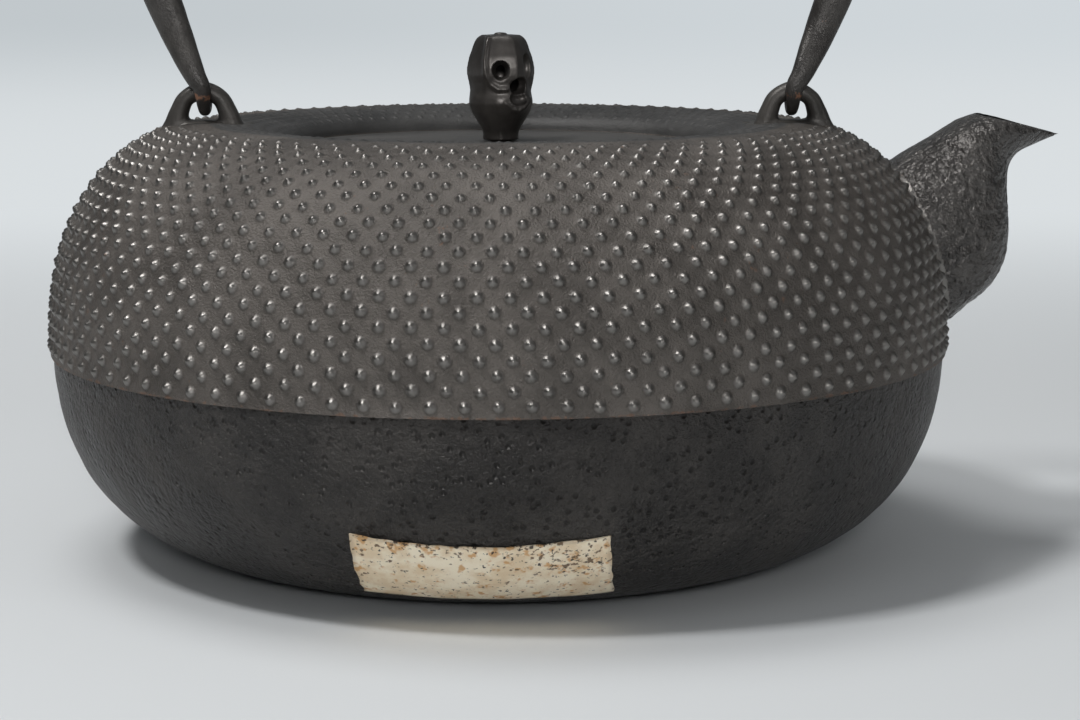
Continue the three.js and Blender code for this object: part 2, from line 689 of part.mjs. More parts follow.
function knobSolid() {
  const level = KNOB_FOOT + KNOB_HOLE_LEVEL;
  const button = toSolid(revolve([
    [0, KNOB_TOP - OVERCUT],
    [KNOB_BUTTON_RADIUS, KNOB_TOP - OVERCUT],
    [KNOB_BUTTON_RADIUS, KNOB_TOP + KNOB_BUTTON_EDGE],
    [0, KNOB_TOP + KNOB_BUTTON_HEIGHT],
  ], TANG_SEGMENTS));
  const tang = toSolid(revolve([
    [0, PEEN_TOP - PEEN_HEIGHT],
    [PEEN_FACE_RADIUS, PEEN_TOP - PEEN_EDGE],
    [PEEN_RADIUS, PEEN_TOP],
    [TANG_RADIUS, PEEN_TOP],
    [TANG_RADIUS, KNOB_FOOT + OVERCUT],
    [0, KNOB_FOOT + OVERCUT],
  ], TANG_SEGMENTS));
  const hollowRadius = KNOB_RADIUS - KNOB_WALL;
  const hollow = wormHole(0, 0, level, [hollowRadius, hollowRadius, KNOB_HOLLOW_HALF_HEIGHT]);
  const solid = knobBud().add(button).add(tang).subtract(hollow);
  return KNOB_HOLES.reduce((knob, hole) => knob.subtract(wormHole(
    KNOB_RADIUS,
    hole.turn,
    level + hole.rise,
    [KNOB_HOLE_REACH, hole.halfWidth, hole.halfHeight],
  )), solid);
}

function washerSolid() {
  return toSolid(revolveRing([
    [TANG_BORE, WASHER_BOTTOM],
    [WASHER_RADIUS, WASHER_BOTTOM],
    [WASHER_RADIUS, WASHER_TOP],
    [TANG_BORE, WASHER_TOP],
  ], WASHER_SEGMENTS));
}

// Handle

// Centre line of one half of the bail, from the hook's tip to the middle of the arch. The hook goes round the
// ear's bar from the front, and the leg returns to the middle plane above it.
function handleHalf(side) {
  const points = [];
  for (let i = 0; i <= HOOK_STATIONS; i += 1) {
    const turn = lerp(HOOK_START_DEGREES, HOOK_END_DEGREES, i / HOOK_STATIONS) * DEGREE;
    points.push(new THREE.Vector3(
      side * HOOK_OFFSET,
      -HOOK_BEND_RADIUS * Math.sin(turn),
      BAR_CENTRE_HEIGHT + HOOK_BEND_RADIUS * Math.cos(turn),
    ));
  }
  const lean = HANDLE_LEG_LEAN_DEGREES * DEGREE;
  const leg = new THREE.CubicBezierCurve(
    new THREE.Vector2(HOOK_OFFSET, BAR_CENTRE_HEIGHT),
    new THREE.Vector2(
      HOOK_OFFSET + HANDLE_LEG_REACH * Math.sin(lean),
      BAR_CENTRE_HEIGHT + HANDLE_LEG_REACH * Math.cos(lean),
    ),
    new THREE.Vector2(HANDLE_TOP_REACH, HANDLE_TOP_HEIGHT),
    new THREE.Vector2(0, HANDLE_TOP_HEIGHT),
  );
  const legPoints = HANDLE_STATIONS / 2;
  for (let i = 1; i <= legPoints; i += 1) {
    const spot = leg.getPoint(Math.pow(i / legPoints, LEG_POINT_CROWDING));
    const centring = THREE.MathUtils.smoothstep(
      spot.y,
      BAR_CENTRE_HEIGHT,
      BAR_CENTRE_HEIGHT + HANDLE_CENTRING_HEIGHT,
    );
    points.push(new THREE.Vector3(side * spot.x, -HOOK_BEND_RADIUS * (1 - centring), spot.y));
  }
  return points;
}

// Stations along the bail as shares of its length: close together round the hooks, wider along the arch.
function handleShares(total, hookLength) {
  const hookEnd = (hookLength + HANDLE_FOOT_WIDTH) / total;
  const archStations = HANDLE_STATIONS - 2 * HOOK_STATIONS;
  const hook = Array.from({ length: HOOK_STATIONS }, (_, i) => (i / HOOK_STATIONS) * hookEnd);
  const arch = Array.from({ length: archStations + 1 }, (_, i) => lerp(hookEnd, 1 - hookEnd, i / archStations));
  return [...hook, ...arch, ...hook.map((share) => 1 - share).reverse()];
}

// Half width and half depth of the bail at a distance from its nearer end.
function handleSection(distance, hookLength) {
  const tip = Math.min(1, lerp(HOOK_TIP_SHARE, 1, distance / HOOK_TIP_LENGTH));
  const foot = lerp(HOOK_THICKNESS, HANDLE_FOOT_WIDTH, Math.min(1, Math.pow(distance / hookLength, 4)));
  const swell = 1 - Math.exp(-Math.max(0, distance - hookLength) / HANDLE_TAPER_LENGTH);
  return [
    (lerp(foot, HANDLE_MID_WIDTH, swell) * tip) / 2,
    (lerp(HOOK_THICKNESS, HANDLE_MID_DEPTH, swell) * tip) / 2,
  ];
}

function sectionLoop(centre, normal, across, [halfWidth, halfDepth]) {
  const stretch = 1 / Math.cos(Math.PI / HANDLE_SIDES);
  return Array.from({ length: HANDLE_SIDES }, (_, j) => {
    const turn = ((j + 0.5) / HANDLE_SIDES) * Math.PI * 2;
    return centre.clone()
      .addScaledVector(normal, halfWidth * Math.cos(turn) * stretch)
      .addScaledVector(across, halfDepth * Math.sin(turn) * stretch);
  });
}

function handleSolid() {
  const left = handleHalf(-1);
  const right = handleHalf(1).slice(0, -1).reverse();
  const line = new THREE.CatmullRomCurve3([...left, ...right], false, 'centripetal');
  line.arcLengthDivisions = FINE_STEPS * FINE_STEPS;
  const total = line.getLength();
  const hookLength = HOOK_BEND_RADIUS * (HOOK_START_DEGREES - HOOK_END_DEGREES) * DEGREE;
  let normal = new THREE.Vector3(1, 0, 0);
  return toSolid(loft(handleShares(total, hookLength).map((share) => {
    const tangent = line.getTangentAt(share);
    normal = normal.clone().addScaledVector(tangent, -normal.dot(tangent)).normalize();
    const across = new THREE.Vector3().crossVectors(tangent, normal);
    const distance = Math.min(share, 1 - share) * total;
    return sectionLoop(line.getPointAt(share), normal, across, handleSection(distance, hookLength));
  })));
}

// Paper label

// The strip is laid on the belly from its top edge down, one lower corner worn away.
function labelSide(lift) {
  const below = bellyProfile(0, FINE_STEPS).filter(([, height]) => height <= LABEL_TOP_HEIGHT);
  const start = profileLength(below);
  const points = [];
  for (let i = 0; i <= LABEL_ROWS; i += 1) {
    const distance = start - (i / LABEL_ROWS) * LABEL_LENGTH;
    const [radius] = pointAlong(below, distance);
    const [lifted, height] = pointAlong(below, distance, lift);
    for (let j = 0; j <= LABEL_COLUMNS; j += 1) {
      const cut = i === LABEL_ROWS && j === 0 ? LABEL_CORNER_CUT : 0;
      const across = (j / LABEL_COLUMNS - 0.5) * LABEL_WIDTH + cut;
      const turn = LABEL_TURN_DEGREES * DEGREE + across / radius;
      points.push(new THREE.Vector3(lifted * Math.sin(turn), -lifted * Math.cos(turn), height));
    }
  }
  return points;
}

function labelSolid() {
  const inner = labelSide(SEAT_GAP);
  const outer = labelSide(SEAT_GAP + LABEL_THICKNESS);
  const width = LABEL_COLUMNS + 1;
  const count = inner.length;
  const triangles = [];
  const quad = (a, b, c, d) => triangles.push(a, b, c, a, c, d);
  for (let i = 0; i < LABEL_ROWS; i += 1) {
    for (let j = 0; j < LABEL_COLUMNS; j += 1) {
      const a = i * width + j;
      quad(a, a + 1, a + width + 1, a + width);
      quad(count + a, count + a + width, count + a + width + 1, count + a + 1);
    }
  }
  const border = [];
  for (let j = 0; j < LABEL_COLUMNS; j += 1) border.push(j);
  for (let i = 0; i < LABEL_ROWS; i += 1) border.push(i * width + LABEL_COLUMNS);
  for (let j = LABEL_COLUMNS; j > 0; j -= 1) border.push(LABEL_ROWS * width + j);
  for (let i = LABEL_ROWS; i > 0; i -= 1) border.push(i * width);
  border.forEach((a, i) => {
    const b = border[(i + 1) % border.length];
    quad(a, count + a, count + b, b);
  });
  return toSolid(closedGeometry([...inner, ...outer], triangles));
}

// Assembly

const kettle = new THREE.Group();
kettle.name = 'kettle';

const lidGroup = new THREE.Group();
lidGroup.add(
  toMesh('lid', lidSolid(), lidIron),
  toMesh('lid_knob', knobSolid(), knobIron),
  toMesh('knob_washer', washerSolid(), washerIron),
);

kettle.add(
  toMesh('kettle_body', kettleBody(), castIron),
  toMesh('handle', handleSolid(), forgedIron),
  toMesh('paper_label', labelSolid(), agedPaper),
  lidGroup,
);

export default kettle;
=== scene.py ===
"""Cast iron kettle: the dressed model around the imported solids, with its studio.

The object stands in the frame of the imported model: metres, +Z up, spout along +X, origin at the
centre of the flat base. Sizes in the classes are in millimetres.
"""

import logging
import math
from dataclasses import dataclass, field
from enum import Enum, IntEnum
from typing import Sequence

import bpy
import numpy as np
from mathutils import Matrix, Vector


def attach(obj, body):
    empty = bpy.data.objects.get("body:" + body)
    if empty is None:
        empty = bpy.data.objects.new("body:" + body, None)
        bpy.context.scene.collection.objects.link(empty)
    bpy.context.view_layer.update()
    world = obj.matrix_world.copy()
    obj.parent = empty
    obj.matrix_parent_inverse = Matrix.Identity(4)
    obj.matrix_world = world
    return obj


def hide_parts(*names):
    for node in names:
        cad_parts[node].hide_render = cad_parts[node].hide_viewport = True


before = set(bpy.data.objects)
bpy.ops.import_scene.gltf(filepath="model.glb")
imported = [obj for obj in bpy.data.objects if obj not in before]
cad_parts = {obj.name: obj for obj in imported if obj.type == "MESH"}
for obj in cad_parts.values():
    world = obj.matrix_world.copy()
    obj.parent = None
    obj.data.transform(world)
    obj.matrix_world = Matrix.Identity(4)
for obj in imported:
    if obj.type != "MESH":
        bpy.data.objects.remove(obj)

MM = 0.001
FULL_TURN = 2.0 * math.pi
QUARTER_TURN = math.pi / 2
LOG = logging.getLogger("kettle")

Colour = tuple[float, float, float]
Triple = tuple[float, float, float]
Pair = tuple[float, float]


# Curves and profiles


def quarter_arc(a: float, b: float, fullness: float, steps: int) -> np.ndarray:
    """Samples one quarter of a superellipse from (a, 0) to (0, b).

    Args:
        a: Half width.
        b: Half height.
        fullness: Exponent; 2 is an ellipse and more is boxier.
        steps: Number of segments.

    Returns:
        Points as rows of x and y, both ends included.
    """
    angle = np.linspace(0.0, QUARTER_TURN, steps + 1)
    power = 2.0 / fullness
    return np.stack([
        a * np.clip(np.cos(angle), 0, None) ** power,
        b * np.clip(np.sin(angle), 0, None) ** power,
    ], axis=1)


def uniform_spline(points: Sequence[Sequence[float]], shares: np.ndarray) -> np.ndarray:
    """Evaluates a uniform Catmull-Rom spline.

    Args:
        points: Points that the spline passes through.
        shares: Places along it, from 0 to 1.

    Returns:
        One row for each share.
    """
    knots = np.asarray(points, float)
    last = len(knots) - 1
    place = np.clip(np.asarray(shares, float), 0.0, 1.0) * last
    base = np.minimum(place.astype(int), last - 1)
    t = (place - base)[:, None]
    p0 = knots[np.maximum(base - 1, 0)]
    p1 = knots[base]
    p2 = knots[base + 1]
    p3 = knots[np.minimum(base + 2, last)]
    v0 = (p2 - p0) / 2
    v1 = (p3 - p1) / 2
    return (
        (2 * p1 - 2 * p2 + v0 + v1) * t ** 3
        + (-3 * p1 + 3 * p2 - 2 * v0 - v1) * t ** 2
        + v0 * t
        + p1
    )


def smooth_step(value: np.ndarray, low: float, high: float) -> np.ndarray:
    """Smooth rise from 0 at low to 1 at high."""
    t = np.clip((value - low) / (high - low), 0.0, 1.0)
    return t * t * (3 - 2 * t)


def step_at(value: float, low: float, high: float) -> float:
    """Smooth rise of one number from 0 at low to 1 at high."""
    return float(smooth_step(np.array(value), low, high))


def blend(a: np.ndarray, b: np.ndarray, share: np.ndarray) -> np.ndarray:
    """Linear mix of a and b by share."""
    return a + (b - a) * share


def unit(vector: np.ndarray) -> np.ndarray:
    """The vector at length one."""
    return vector / np.linalg.norm(vector)


def distances(points: np.ndarray) -> np.ndarray:
    """Distance of each point from the first one, along the line."""
    steps = np.linalg.norm(np.diff(points, axis=0), axis=1)
    return np.concatenate([[0.0], np.cumsum(steps)])


def resampled(points: np.ndarray, lengths: np.ndarray, places: np.ndarray) -> np.ndarray:
    """Points of a line at places along it.

    Args:
        points: Rows of x, y and z.
        lengths: Distance of each point along the line.
        places: Distances that are wanted.

    Returns:
        One row for each place.
    """
    return np.stack([np.interp(places, lengths, points[:, i]) for i in range(3)], axis=1)


def turns(count: int) -> np.ndarray:
    """Turns evenly spread round the circle."""
    return np.arange(count) / count * FULL_TURN


def boxy_circle(turn: np.ndarray, fullness: float) -> tuple[np.ndarray, np.ndarray]:
    """Cosine and sine of turns, swollen into a superellipse; a fullness of 2 is a circle.

    Args:
        turn: Turns round the circle.
        fullness: Exponent; more than 2 is boxier.

    Returns:
        Swollen cosines and sines.
    """
    power = 2 / fullness
    across, up = np.cos(turn), np.sin(turn)
    return np.sign(across) * np.abs(across) ** power, np.sign(up) * np.abs(up) ** power


class Meridian:
    """A line of radius and height that is turned about the kettle's axis."""

    def __init__(self, points: np.ndarray) -> None:
        """Keeps the points and measures the line.

        Args:
            points: Rows of radius and height, in order.
        """
        self.points = points
        self.lengths = distances(points)
        tangents = np.gradient(points, self.lengths, axis=0)
        self._tangents = tangents / np.linalg.norm(tangents, axis=1)[:, None]

    @property
    def total(self) -> float:
        """Length of the line."""
        return float(self.lengths[-1])

    def at(self, distance: np.ndarray) -> tuple[np.ndarray, np.ndarray]:
        """Radius and height at distances along the line."""
        return (
            np.interp(distance, self.lengths, self.points[:, 0]),
            np.interp(distance, self.lengths, self.points[:, 1]),
        )

    def outward(self, distance: np.ndarray) -> tuple[np.ndarray, np.ndarray]:
        """Radial and vertical part of the outward normal at distances along the line.

        Args:
            distance: Distances along the line.

        Returns:
            The two parts, with a normal's length of one.
        """
        along_r = np.interp(distance, self.lengths, self._tangents[:, 0])
        along_z = np.interp(distance, self.lengths, self._tangents[:, 1])
        size = np.hypot(along_r, along_z)
        return along_z / size, -along_r / size


@dataclass(frozen=True)
class Wave:
    """Seeded lattice noise that moves a surface; sizes are in millimetres."""

    size: float
    depth: float
    seed: int
    cells: int = 64
    shift: float = 1000.0

    def at(self, points: np.ndarray) -> np.ndarray:
        """Move of each point, about -depth to depth.

        Args:
            points: Rows of x, y and z.

        Returns:
            One number for each point.
        """
        lattice = np.random.default_rng(self.seed).uniform(-1, 1, (self.cells,) * 3)
        place = points / self.size + self.shift
        base = np.floor(place).astype(int)
        t = place - base
        t = t * t * (3 - 2 * t)
        result = np.zeros(len(points))
        for corner in np.ndindex(2, 2, 2):
            weight = np.ones(len(points))
            index = []
            for axis, step in enumerate(corner):
                weight = weight * (t[:, axis] if step else 1 - t[:, axis])
                index.append((base[:, axis] + step) % self.cells)
            result += weight * lattice[index[0], index[1], index[2]]
        return result * self.depth


# Meshes


class Skin:
    """Collects points and faces of one mesh, in millimetres."""

    def __init__(self) -> None:
        """Starts an empty skin."""
        self._points: list[np.ndarray] = []
        self._faces: list[np.ndarray] = []
        self.count = 0

    def add(self, points: np.ndarray) -> int:
        """Adds points and returns the number of the first one.

        Args:
            points: Rows of x, y and z, in any shape.

        Returns:
            Number of the first added point.
        """
        first = self.count
        rows = np.asarray(points, float).reshape(-1, 3)
        self._points.append(rows)
        self.count += len(rows)
        return first

    def faces(self, *corners: np.ndarray) -> None:
        """Adds faces from one array of point numbers for each corner."""
        self._faces.append(np.stack([np.asarray(c).ravel() for c in corners], axis=1))

    def band(self, lower: int, upper: int, count: int) -> None:
        """Joins two closed loops of one count with quads."""
        j = np.arange(count)
        n = (j + 1) % count
        self.faces(lower + j, lower + n, upper + n, upper + j)

    def fan(self, loop: int, count: int, tip: int, reverse: bool = False) -> None:
        """Closes a loop with triangles to one point.

        Args:
            loop: Number of the loop's first point.
            count: Points in the loop.
            tip: Number of the shared point.
            reverse: Turns the faces over.
        """
        j = np.arange(count)
        n = (j + 1) % count
        centre = np.full(count, tip)
        if reverse:
            self.faces(loop + n, loop + j, centre)
        else:
            self.faces(loop + j, loop + n, centre)

    def loft(self, loops: np.ndarray) -> None:
        """Joins equal closed loops into one closed tube with capped ends.

        Args:
            loops: Array of loops, points in a loop, and x, y, z.
        """
        count = loops.shape[1]
        first = self.add(loops)
        for i in range(len(loops) - 1):
            self.band(first + i * count, first + (i + 1) * count, count)
        start = self.add(loops[0].mean(axis=0))
        end = self.add(loops[-1].mean(axis=0))
        self.fan(first, count, start, reverse=True)
        self.fan(first + (len(loops) - 1) * count, count, end)

    def build(self, name: str) -> bpy.types.Object:
        """Makes the mesh object.

        Args:
            name: Name of the object and its mesh.

        Returns:
            The new object, linked to the scene.
        """
        points = np.concatenate(self._points) * MM
        corners = np.concatenate([f.ravel() for f in self._faces])
        sizes = np.concatenate([np.full(len(f), f.shape[1]) for f in self._faces])
        mesh = bpy.data.meshes.new(name)
        mesh.vertices.add(len(points))
        mesh.vertices.foreach_set("co", points.ravel().astype(np.float32))
        mesh.loops.add(len(corners))
        mesh.loops.foreach_set("vertex_index", corners.astype(np.int32))
        mesh.polygons.add(len(sizes))
        starts = np.concatenate([[0], np.cumsum(sizes)[:-1]])
        mesh.polygons.foreach_set("loop_start", starts.astype(np.int32))
        mesh.update(calc_edges=True)
        mesh.validate()
        return link(bpy.data.objects.new(name, mesh))


def link(obj: bpy.types.Object) -> bpy.types.Object:
    """Puts an object into the scene and returns it."""
    bpy.context.scene.collection.objects.link(obj)
    return obj


def lofted(name: str, loops: Sequence[np.ndarray]) -> bpy.types.Object:
    """Makes a closed solid through equal loops.

    Args:
        name: Name of the object.
        loops: Loops of points, with the same count in each.

    Returns:
        The solid.
    """
    skin = Skin()
    skin.loft(np.array(loops))
    return orient(skin.build(name))


def revolved(name: str, profile: np.ndarray, count: int) -> bpy.types.Object:
    """Turns a profile that starts and ends on the axis into a closed solid.

    Args:
        name: Name of the object.
        profile: Rows of radius and height, from the lowest point on the axis to the highest.
        count: Points around the axis.

    Returns:
        The solid.
    """
    skin = Skin()
    turn = turns(count)
    first = 0
    rings = profile[1:-1]
    for i, (radius, height) in enumerate(rings):
        start = skin.add(ring(radius, height, turn))
        if i == 0:
            first = start
        else:
            skin.band(start - count, start, count)
    bottom = skin.add([0, 0, profile[0][1]])
    top = skin.add([0, 0, profile[-1][1]])
    skin.fan(first, count, bottom, reverse=True)
    skin.fan(first + (len(rings) - 1) * count, count, top)
    return orient(skin.build(name))


def revolved_ring(name: str, profile: np.ndarray, count: int) -> bpy.types.Object:
    """Turns a closed profile that stays off the axis into a solid ring.

    Args:
        name: Name of the object.
        profile: Rows of radius and height, anticlockwise with the radius to the right.
        count: Points around the axis.

    Returns:
        The solid.
    """
    skin = Skin()
    turn = turns(count)
    starts = [skin.add(ring(radius, height, turn)) for radius, height in profile]
    for lower, upper in zip(starts, starts[1:] + starts[:1]):
        skin.band(lower, upper, count)
    return orient(skin.build(name))


def unit_ball(name: str, rows: int, count: int) -> bpy.types.Object:
    """A ball with a radius of one millimetre.

    Args:
        name: Name of the object.
        rows: Steps from pole to pole.
        count: Points around the axis.

    Returns:
        The ball.
    """
    angle = np.linspace(-QUARTER_TURN, QUARTER_TURN, rows + 1)
    profile = np.stack([np.clip(np.cos(angle), 0, None), np.sin(angle)], axis=1)
    return revolved(name, profile, count)


def ring(radius: np.ndarray, height: np.ndarray, turn: np.ndarray) -> np.ndarray:
    """Points at radii, heights and turns about the kettle's axis."""
    x, y, z = np.broadcast_arrays(radius * np.cos(turn), radius * np.sin(turn), height)
    return np.stack([x, y, z], axis=1)


def orient(obj: bpy.types.Object) -> bpy.types.Object:
    """Turns the faces of a closed mesh outward and returns the object.

    Args:
        obj: Object with the mesh.

    Returns:
        The same object.
    """
    mesh = obj.data
    points = mesh_points(obj)
    mesh.calc_loop_triangles()
    corner = np.zeros(len(mesh.loop_triangles) * 3, np.int32)
    mesh.loop_triangles.foreach_get("vertices", corner)
    a, b, c = (points[corner.reshape(-1, 3)[:, i]] for i in range(3))
    if float(np.einsum("ij,ij->i", a, np.cross(b, c)).sum()) < 0:
        mesh.flip_normals()
    return obj


class Operation(Enum):
    """The ways to combine two solids."""

    JOIN = "UNION"
    CUT = "DIFFERENCE"


def combine(
    target: bpy.types.Object, tool: bpy.types.Object, operation: Operation
) -> bpy.types.Object:
    """Combines two closed meshes and removes the second.

    Args:
        target: The object that stays.
        tool: The object that is used up.
        operation: How they are combined.

    Returns:
        The target with its new mesh.
    """
    step = target.modifiers.new("combine", "BOOLEAN")
    step.operation = operation.value
    step.object = tool
    step.solver = "MANIFOLD"
    apply_modifiers(target)
    bpy.data.objects.remove(tool)
    return target


def apply_modifiers(obj: bpy.types.Object) -> None:
    """Replaces an object's mesh by its evaluated one.

    Args:
        obj: Object with modifiers.
    """
    bpy.context.view_layer.update()
    graph = bpy.context.evaluated_depsgraph_get()
    mesh = bpy.data.meshes.new_from_object(obj.evaluated_get(graph))
    obj.modifiers.clear()
    old = obj.data
    obj.data = mesh
    bpy.data.meshes.remove(old)
    mesh.name = obj.name
    mesh.materials.clear()


def soften(obj: bpy.types.Object, voxel: float, rounds: int) -> None:
    """Rebuilds a closed mesh in even small faces and rounds its creases.

    Args:
        obj: The object to change.
        voxel: Face size in millimetres.
        rounds: Smoothing passes.
    """
    step = obj.modifiers.new("remesh", "REMESH")
    step.mode = "VOXEL"
    step.voxel_size = voxel * MM
    step.use_smooth_shade = True
    smooth = obj.modifiers.new("smooth", "SMOOTH")
    smooth.factor = 0.5
    smooth.iterations = rounds
    apply_modifiers(obj)


def mesh_points(obj: bpy.types.Object) -> np.ndarray:
    """Points of an object's mesh in millimetres."""
    place = np.zeros(len(obj.data.vertices) * 3, np.float32)
    obj.data.vertices.foreach_get("co", place)
    return place.reshape(-1, 3).astype(float) / MM


def set_points(obj: bpy.types.Object, points: np.ndarray) -> None:
    """Writes an object's mesh points from millimetres."""
    obj.data.vertices.foreach_set("co", (points * MM).ravel().astype(np.float32))
    obj.data.update()


def shade(obj: bpy.types.Object, sharp_degrees: float) -> None:
    """Smooth shading with edges kept sharp above an angle."""
    obj.data.polygons.foreach_set("use_smooth", np.ones(len(obj.data.polygons), bool))
    obj.data.set_sharp_from_angle(angle=math.radians(sharp_degrees))


def roughen(obj: bpy.types.Object, wave: Wave) -> None:
    """Moves an object's points a little along their normals by smooth noise."""
    push(obj, wave.at(mesh_points(obj)))


def push(obj: bpy.types.Object, shift: np.ndarray) -> None:
    """Moves each point of an object along its normal.

    Args:
        obj: The object to change.
        shift: Move of each point in millimetres.
    """
    normals = np.zeros(len(shift) * 3, np.float32)
    obj.data.vertex_normals.foreach_get("vector", normals)
    set_points(obj, mesh_points(obj) + normals.reshape(-1, 3) * shift[:, None])


def face_centres(obj: bpy.types.Object) -> np.ndarray:
    """Centres of an object's faces in millimetres."""
    centres = np.zeros(len(obj.data.polygons) * 3, np.float32)
    obj.data.polygons.foreach_get("center", centres)
    return centres.reshape(-1, 3) / MM


def store(obj: bpy.types.Object, name: str, values: np.ndarray) -> None:
    """Stores one number on each point of a mesh.

    Args:
        obj: The object.
        name: Name of the value.
        values: One number for each point.
    """
    attribute = obj.data.attributes.new(name, "FLOAT", "POINT")
    attribute.data.foreach_set("value", values.astype(np.float32))


def hand_over(
    obj: bpy.types.Object, body: str, slot: str, *nodes: str
) -> bpy.types.Object:
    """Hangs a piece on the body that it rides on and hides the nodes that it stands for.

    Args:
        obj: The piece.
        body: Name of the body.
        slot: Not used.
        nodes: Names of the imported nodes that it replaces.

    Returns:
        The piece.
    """
    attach(obj, body)
    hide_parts(*nodes)
    LOG.info("%s: %d faces on %s", obj.name, len(obj.data.polygons), body)
    return obj


# Finishes


class Nodes:
    """Adds and links the shader nodes of one material."""

    def __init__(self, name: str) -> None:
        """Starts a material with an output and a principled shader.

        Args:
            name: Name of the material.
        """
        self.material = bpy.data.materials.new(name)
        self.material.use_nodes = True
        self.tree = self.material.node_tree
        self.tree.nodes.clear()
        self.shader = self.add("ShaderNodeBsdfPrincipled")
        self.output = self.add("ShaderNodeOutputMaterial")
        self.tree.links.new(self.shader.outputs[0], self.output.inputs["Surface"])
        self.place = self.add("ShaderNodeTexCoord").outputs["Object"]

    def add(self, kind: str, **settings: object) -> bpy.types.Node:
        """Adds a node and sets its properties.

        Args:
            kind: Type of the node.
            settings: Properties and their values.

        Returns:
            The node.
        """
        node = self.tree.nodes.new(kind)
        for key, value in settings.items():
            setattr(node, key, value)
        return node

    def feed(self, socket: bpy.types.NodeSocket, value: object) -> None:
        """Links a socket into another, or sets its value.

        Args:
            socket: The input that is fed.
            value: A socket, a number or a colour.
        """
        if isinstance(value, bpy.types.NodeSocket):
            self.tree.links.new(value, socket)
        else:
            socket.default_value = value

    def noise(
        self, size: float, detail: float = 3.0, roughness: float = 0.5, seed: float = 0.0
    ) -> bpy.types.NodeSocket:
        """Noise with features of a given size.

        Args:
            size: Feature size in millimetres.
            detail: Number of finer layers.
            roughness: Weight of the finer layers.
            seed: Offset that sets this noise apart.

        Returns:
            The factor's socket.
        """
        node = self.add("ShaderNodeTexNoise", noise_dimensions="4D")
        self.feed(node.inputs["Vector"], self.place)
        node.inputs["W"].default_value = seed
        node.inputs["Scale"].default_value = 1.0 / (size * MM)
        node.inputs["Detail"].default_value = detail
        node.inputs["Roughness"].default_value = roughness
        return node.outputs["Fac"]

    def cells(self, size: float) -> bpy.types.NodeSocket:
        """Distance to points scattered about one size apart, as a share of that size."""
        node = self.add("ShaderNodeTexVoronoi")
        self.feed(node.inputs["Vector"], self.place)
        node.inputs["Scale"].default_value = 1.0 / (size * MM)
        return node.outputs["Distance"]

    def spread(
        self, value: bpy.types.NodeSocket, low: float, high: float, to_low: float = 0.0,
        to_high: float = 1.0,
    ) -> bpy.types.NodeSocket:
        """Maps a range to another one and clamps it.

        Args:
            value: The input.
            low: Start of the input's range.
            high: End of the input's range.
            to_low: Result at the start.
            to_high: Result at the end.

        Returns:
            The result's socket.
        """
        node = self.add("ShaderNodeMapRange", interpolation_type="SMOOTHSTEP")
        self.feed(node.inputs["Value"], value)
        set_range(node, low, high, to_low, to_high)
        return node.outputs["Result"]

    def math(self, operation: str, a: object, b: object = 0.0) -> bpy.types.NodeSocket:
        """One arithmetic step on two sockets or numbers.

        Args:
            operation: Name of the step.
            a: First socket or number.
            b: Second socket or number.

        Returns:
            The result's socket.
        """
        node = self.add("ShaderNodeMath", operation=operation)
        self.feed(node.inputs[0], a)
        self.feed(node.inputs[1], b)
        return node.outputs[0]

    def tint(self, share: object, a: object, b: object) -> bpy.types.NodeSocket:
        """Mixes two colours, or sockets that carry colours.

        Args:
            share: Share of the second colour.
            a: First colour.
            b: Second colour.

        Returns:
            The mixed colour's socket.
        """
        node = self.add("ShaderNodeMix", data_type="RGBA")
        sockets = [s for s in node.inputs if s.enabled]
        values = (share, *(_opaque(c) for c in (a, b)))
        for socket, value in zip(sockets, values):
            self.feed(socket, value)
        return next(s for s in node.outputs if s.enabled)

    def point_value(self, name: str) -> bpy.types.NodeSocket:
        """Reads a number that is stored on the mesh's points."""
        return self.add("ShaderNodeAttribute", attribute_name=name).outputs["Fac"]

    def height(self) -> bpy.types.NodeSocket:
        """Height above the base in metres."""
        node = self.add("ShaderNodeSeparateXYZ")
        self.feed(node.inputs[0], self.place)
        return node.outputs["Z"]

    def relief(self, value: bpy.types.NodeSocket, depth: float, strength: float = 1.0) -> None:
        """Turns a height into the shader's surface relief.

        Args:
            value: Relief, where 1 is the full depth.
            depth: Depth in millimetres.
            strength: Strength of the effect.
        """
        node = self.add("ShaderNodeBump")
        node.inputs["Distance"].default_value = depth * MM
        node.inputs["Strength"].default_value = strength
        self.feed(node.inputs["Height"], value)
        self.feed(self.shader.inputs["Normal"], node.outputs["Normal"])


def set_range(node: bpy.types.Node, *limits: float) -> None:
    """Sets where a map range node starts and ends, and what it makes of both."""
    for key, number in zip(("From Min", "From Max", "To Min", "To Max"), limits):
        node.inputs[key].default_value = number


def _opaque(colour: object) -> object:
    """Adds alpha to a plain colour and leaves a socket alone."""
    return (*colour, 1.0) if isinstance(colour, tuple) else colour


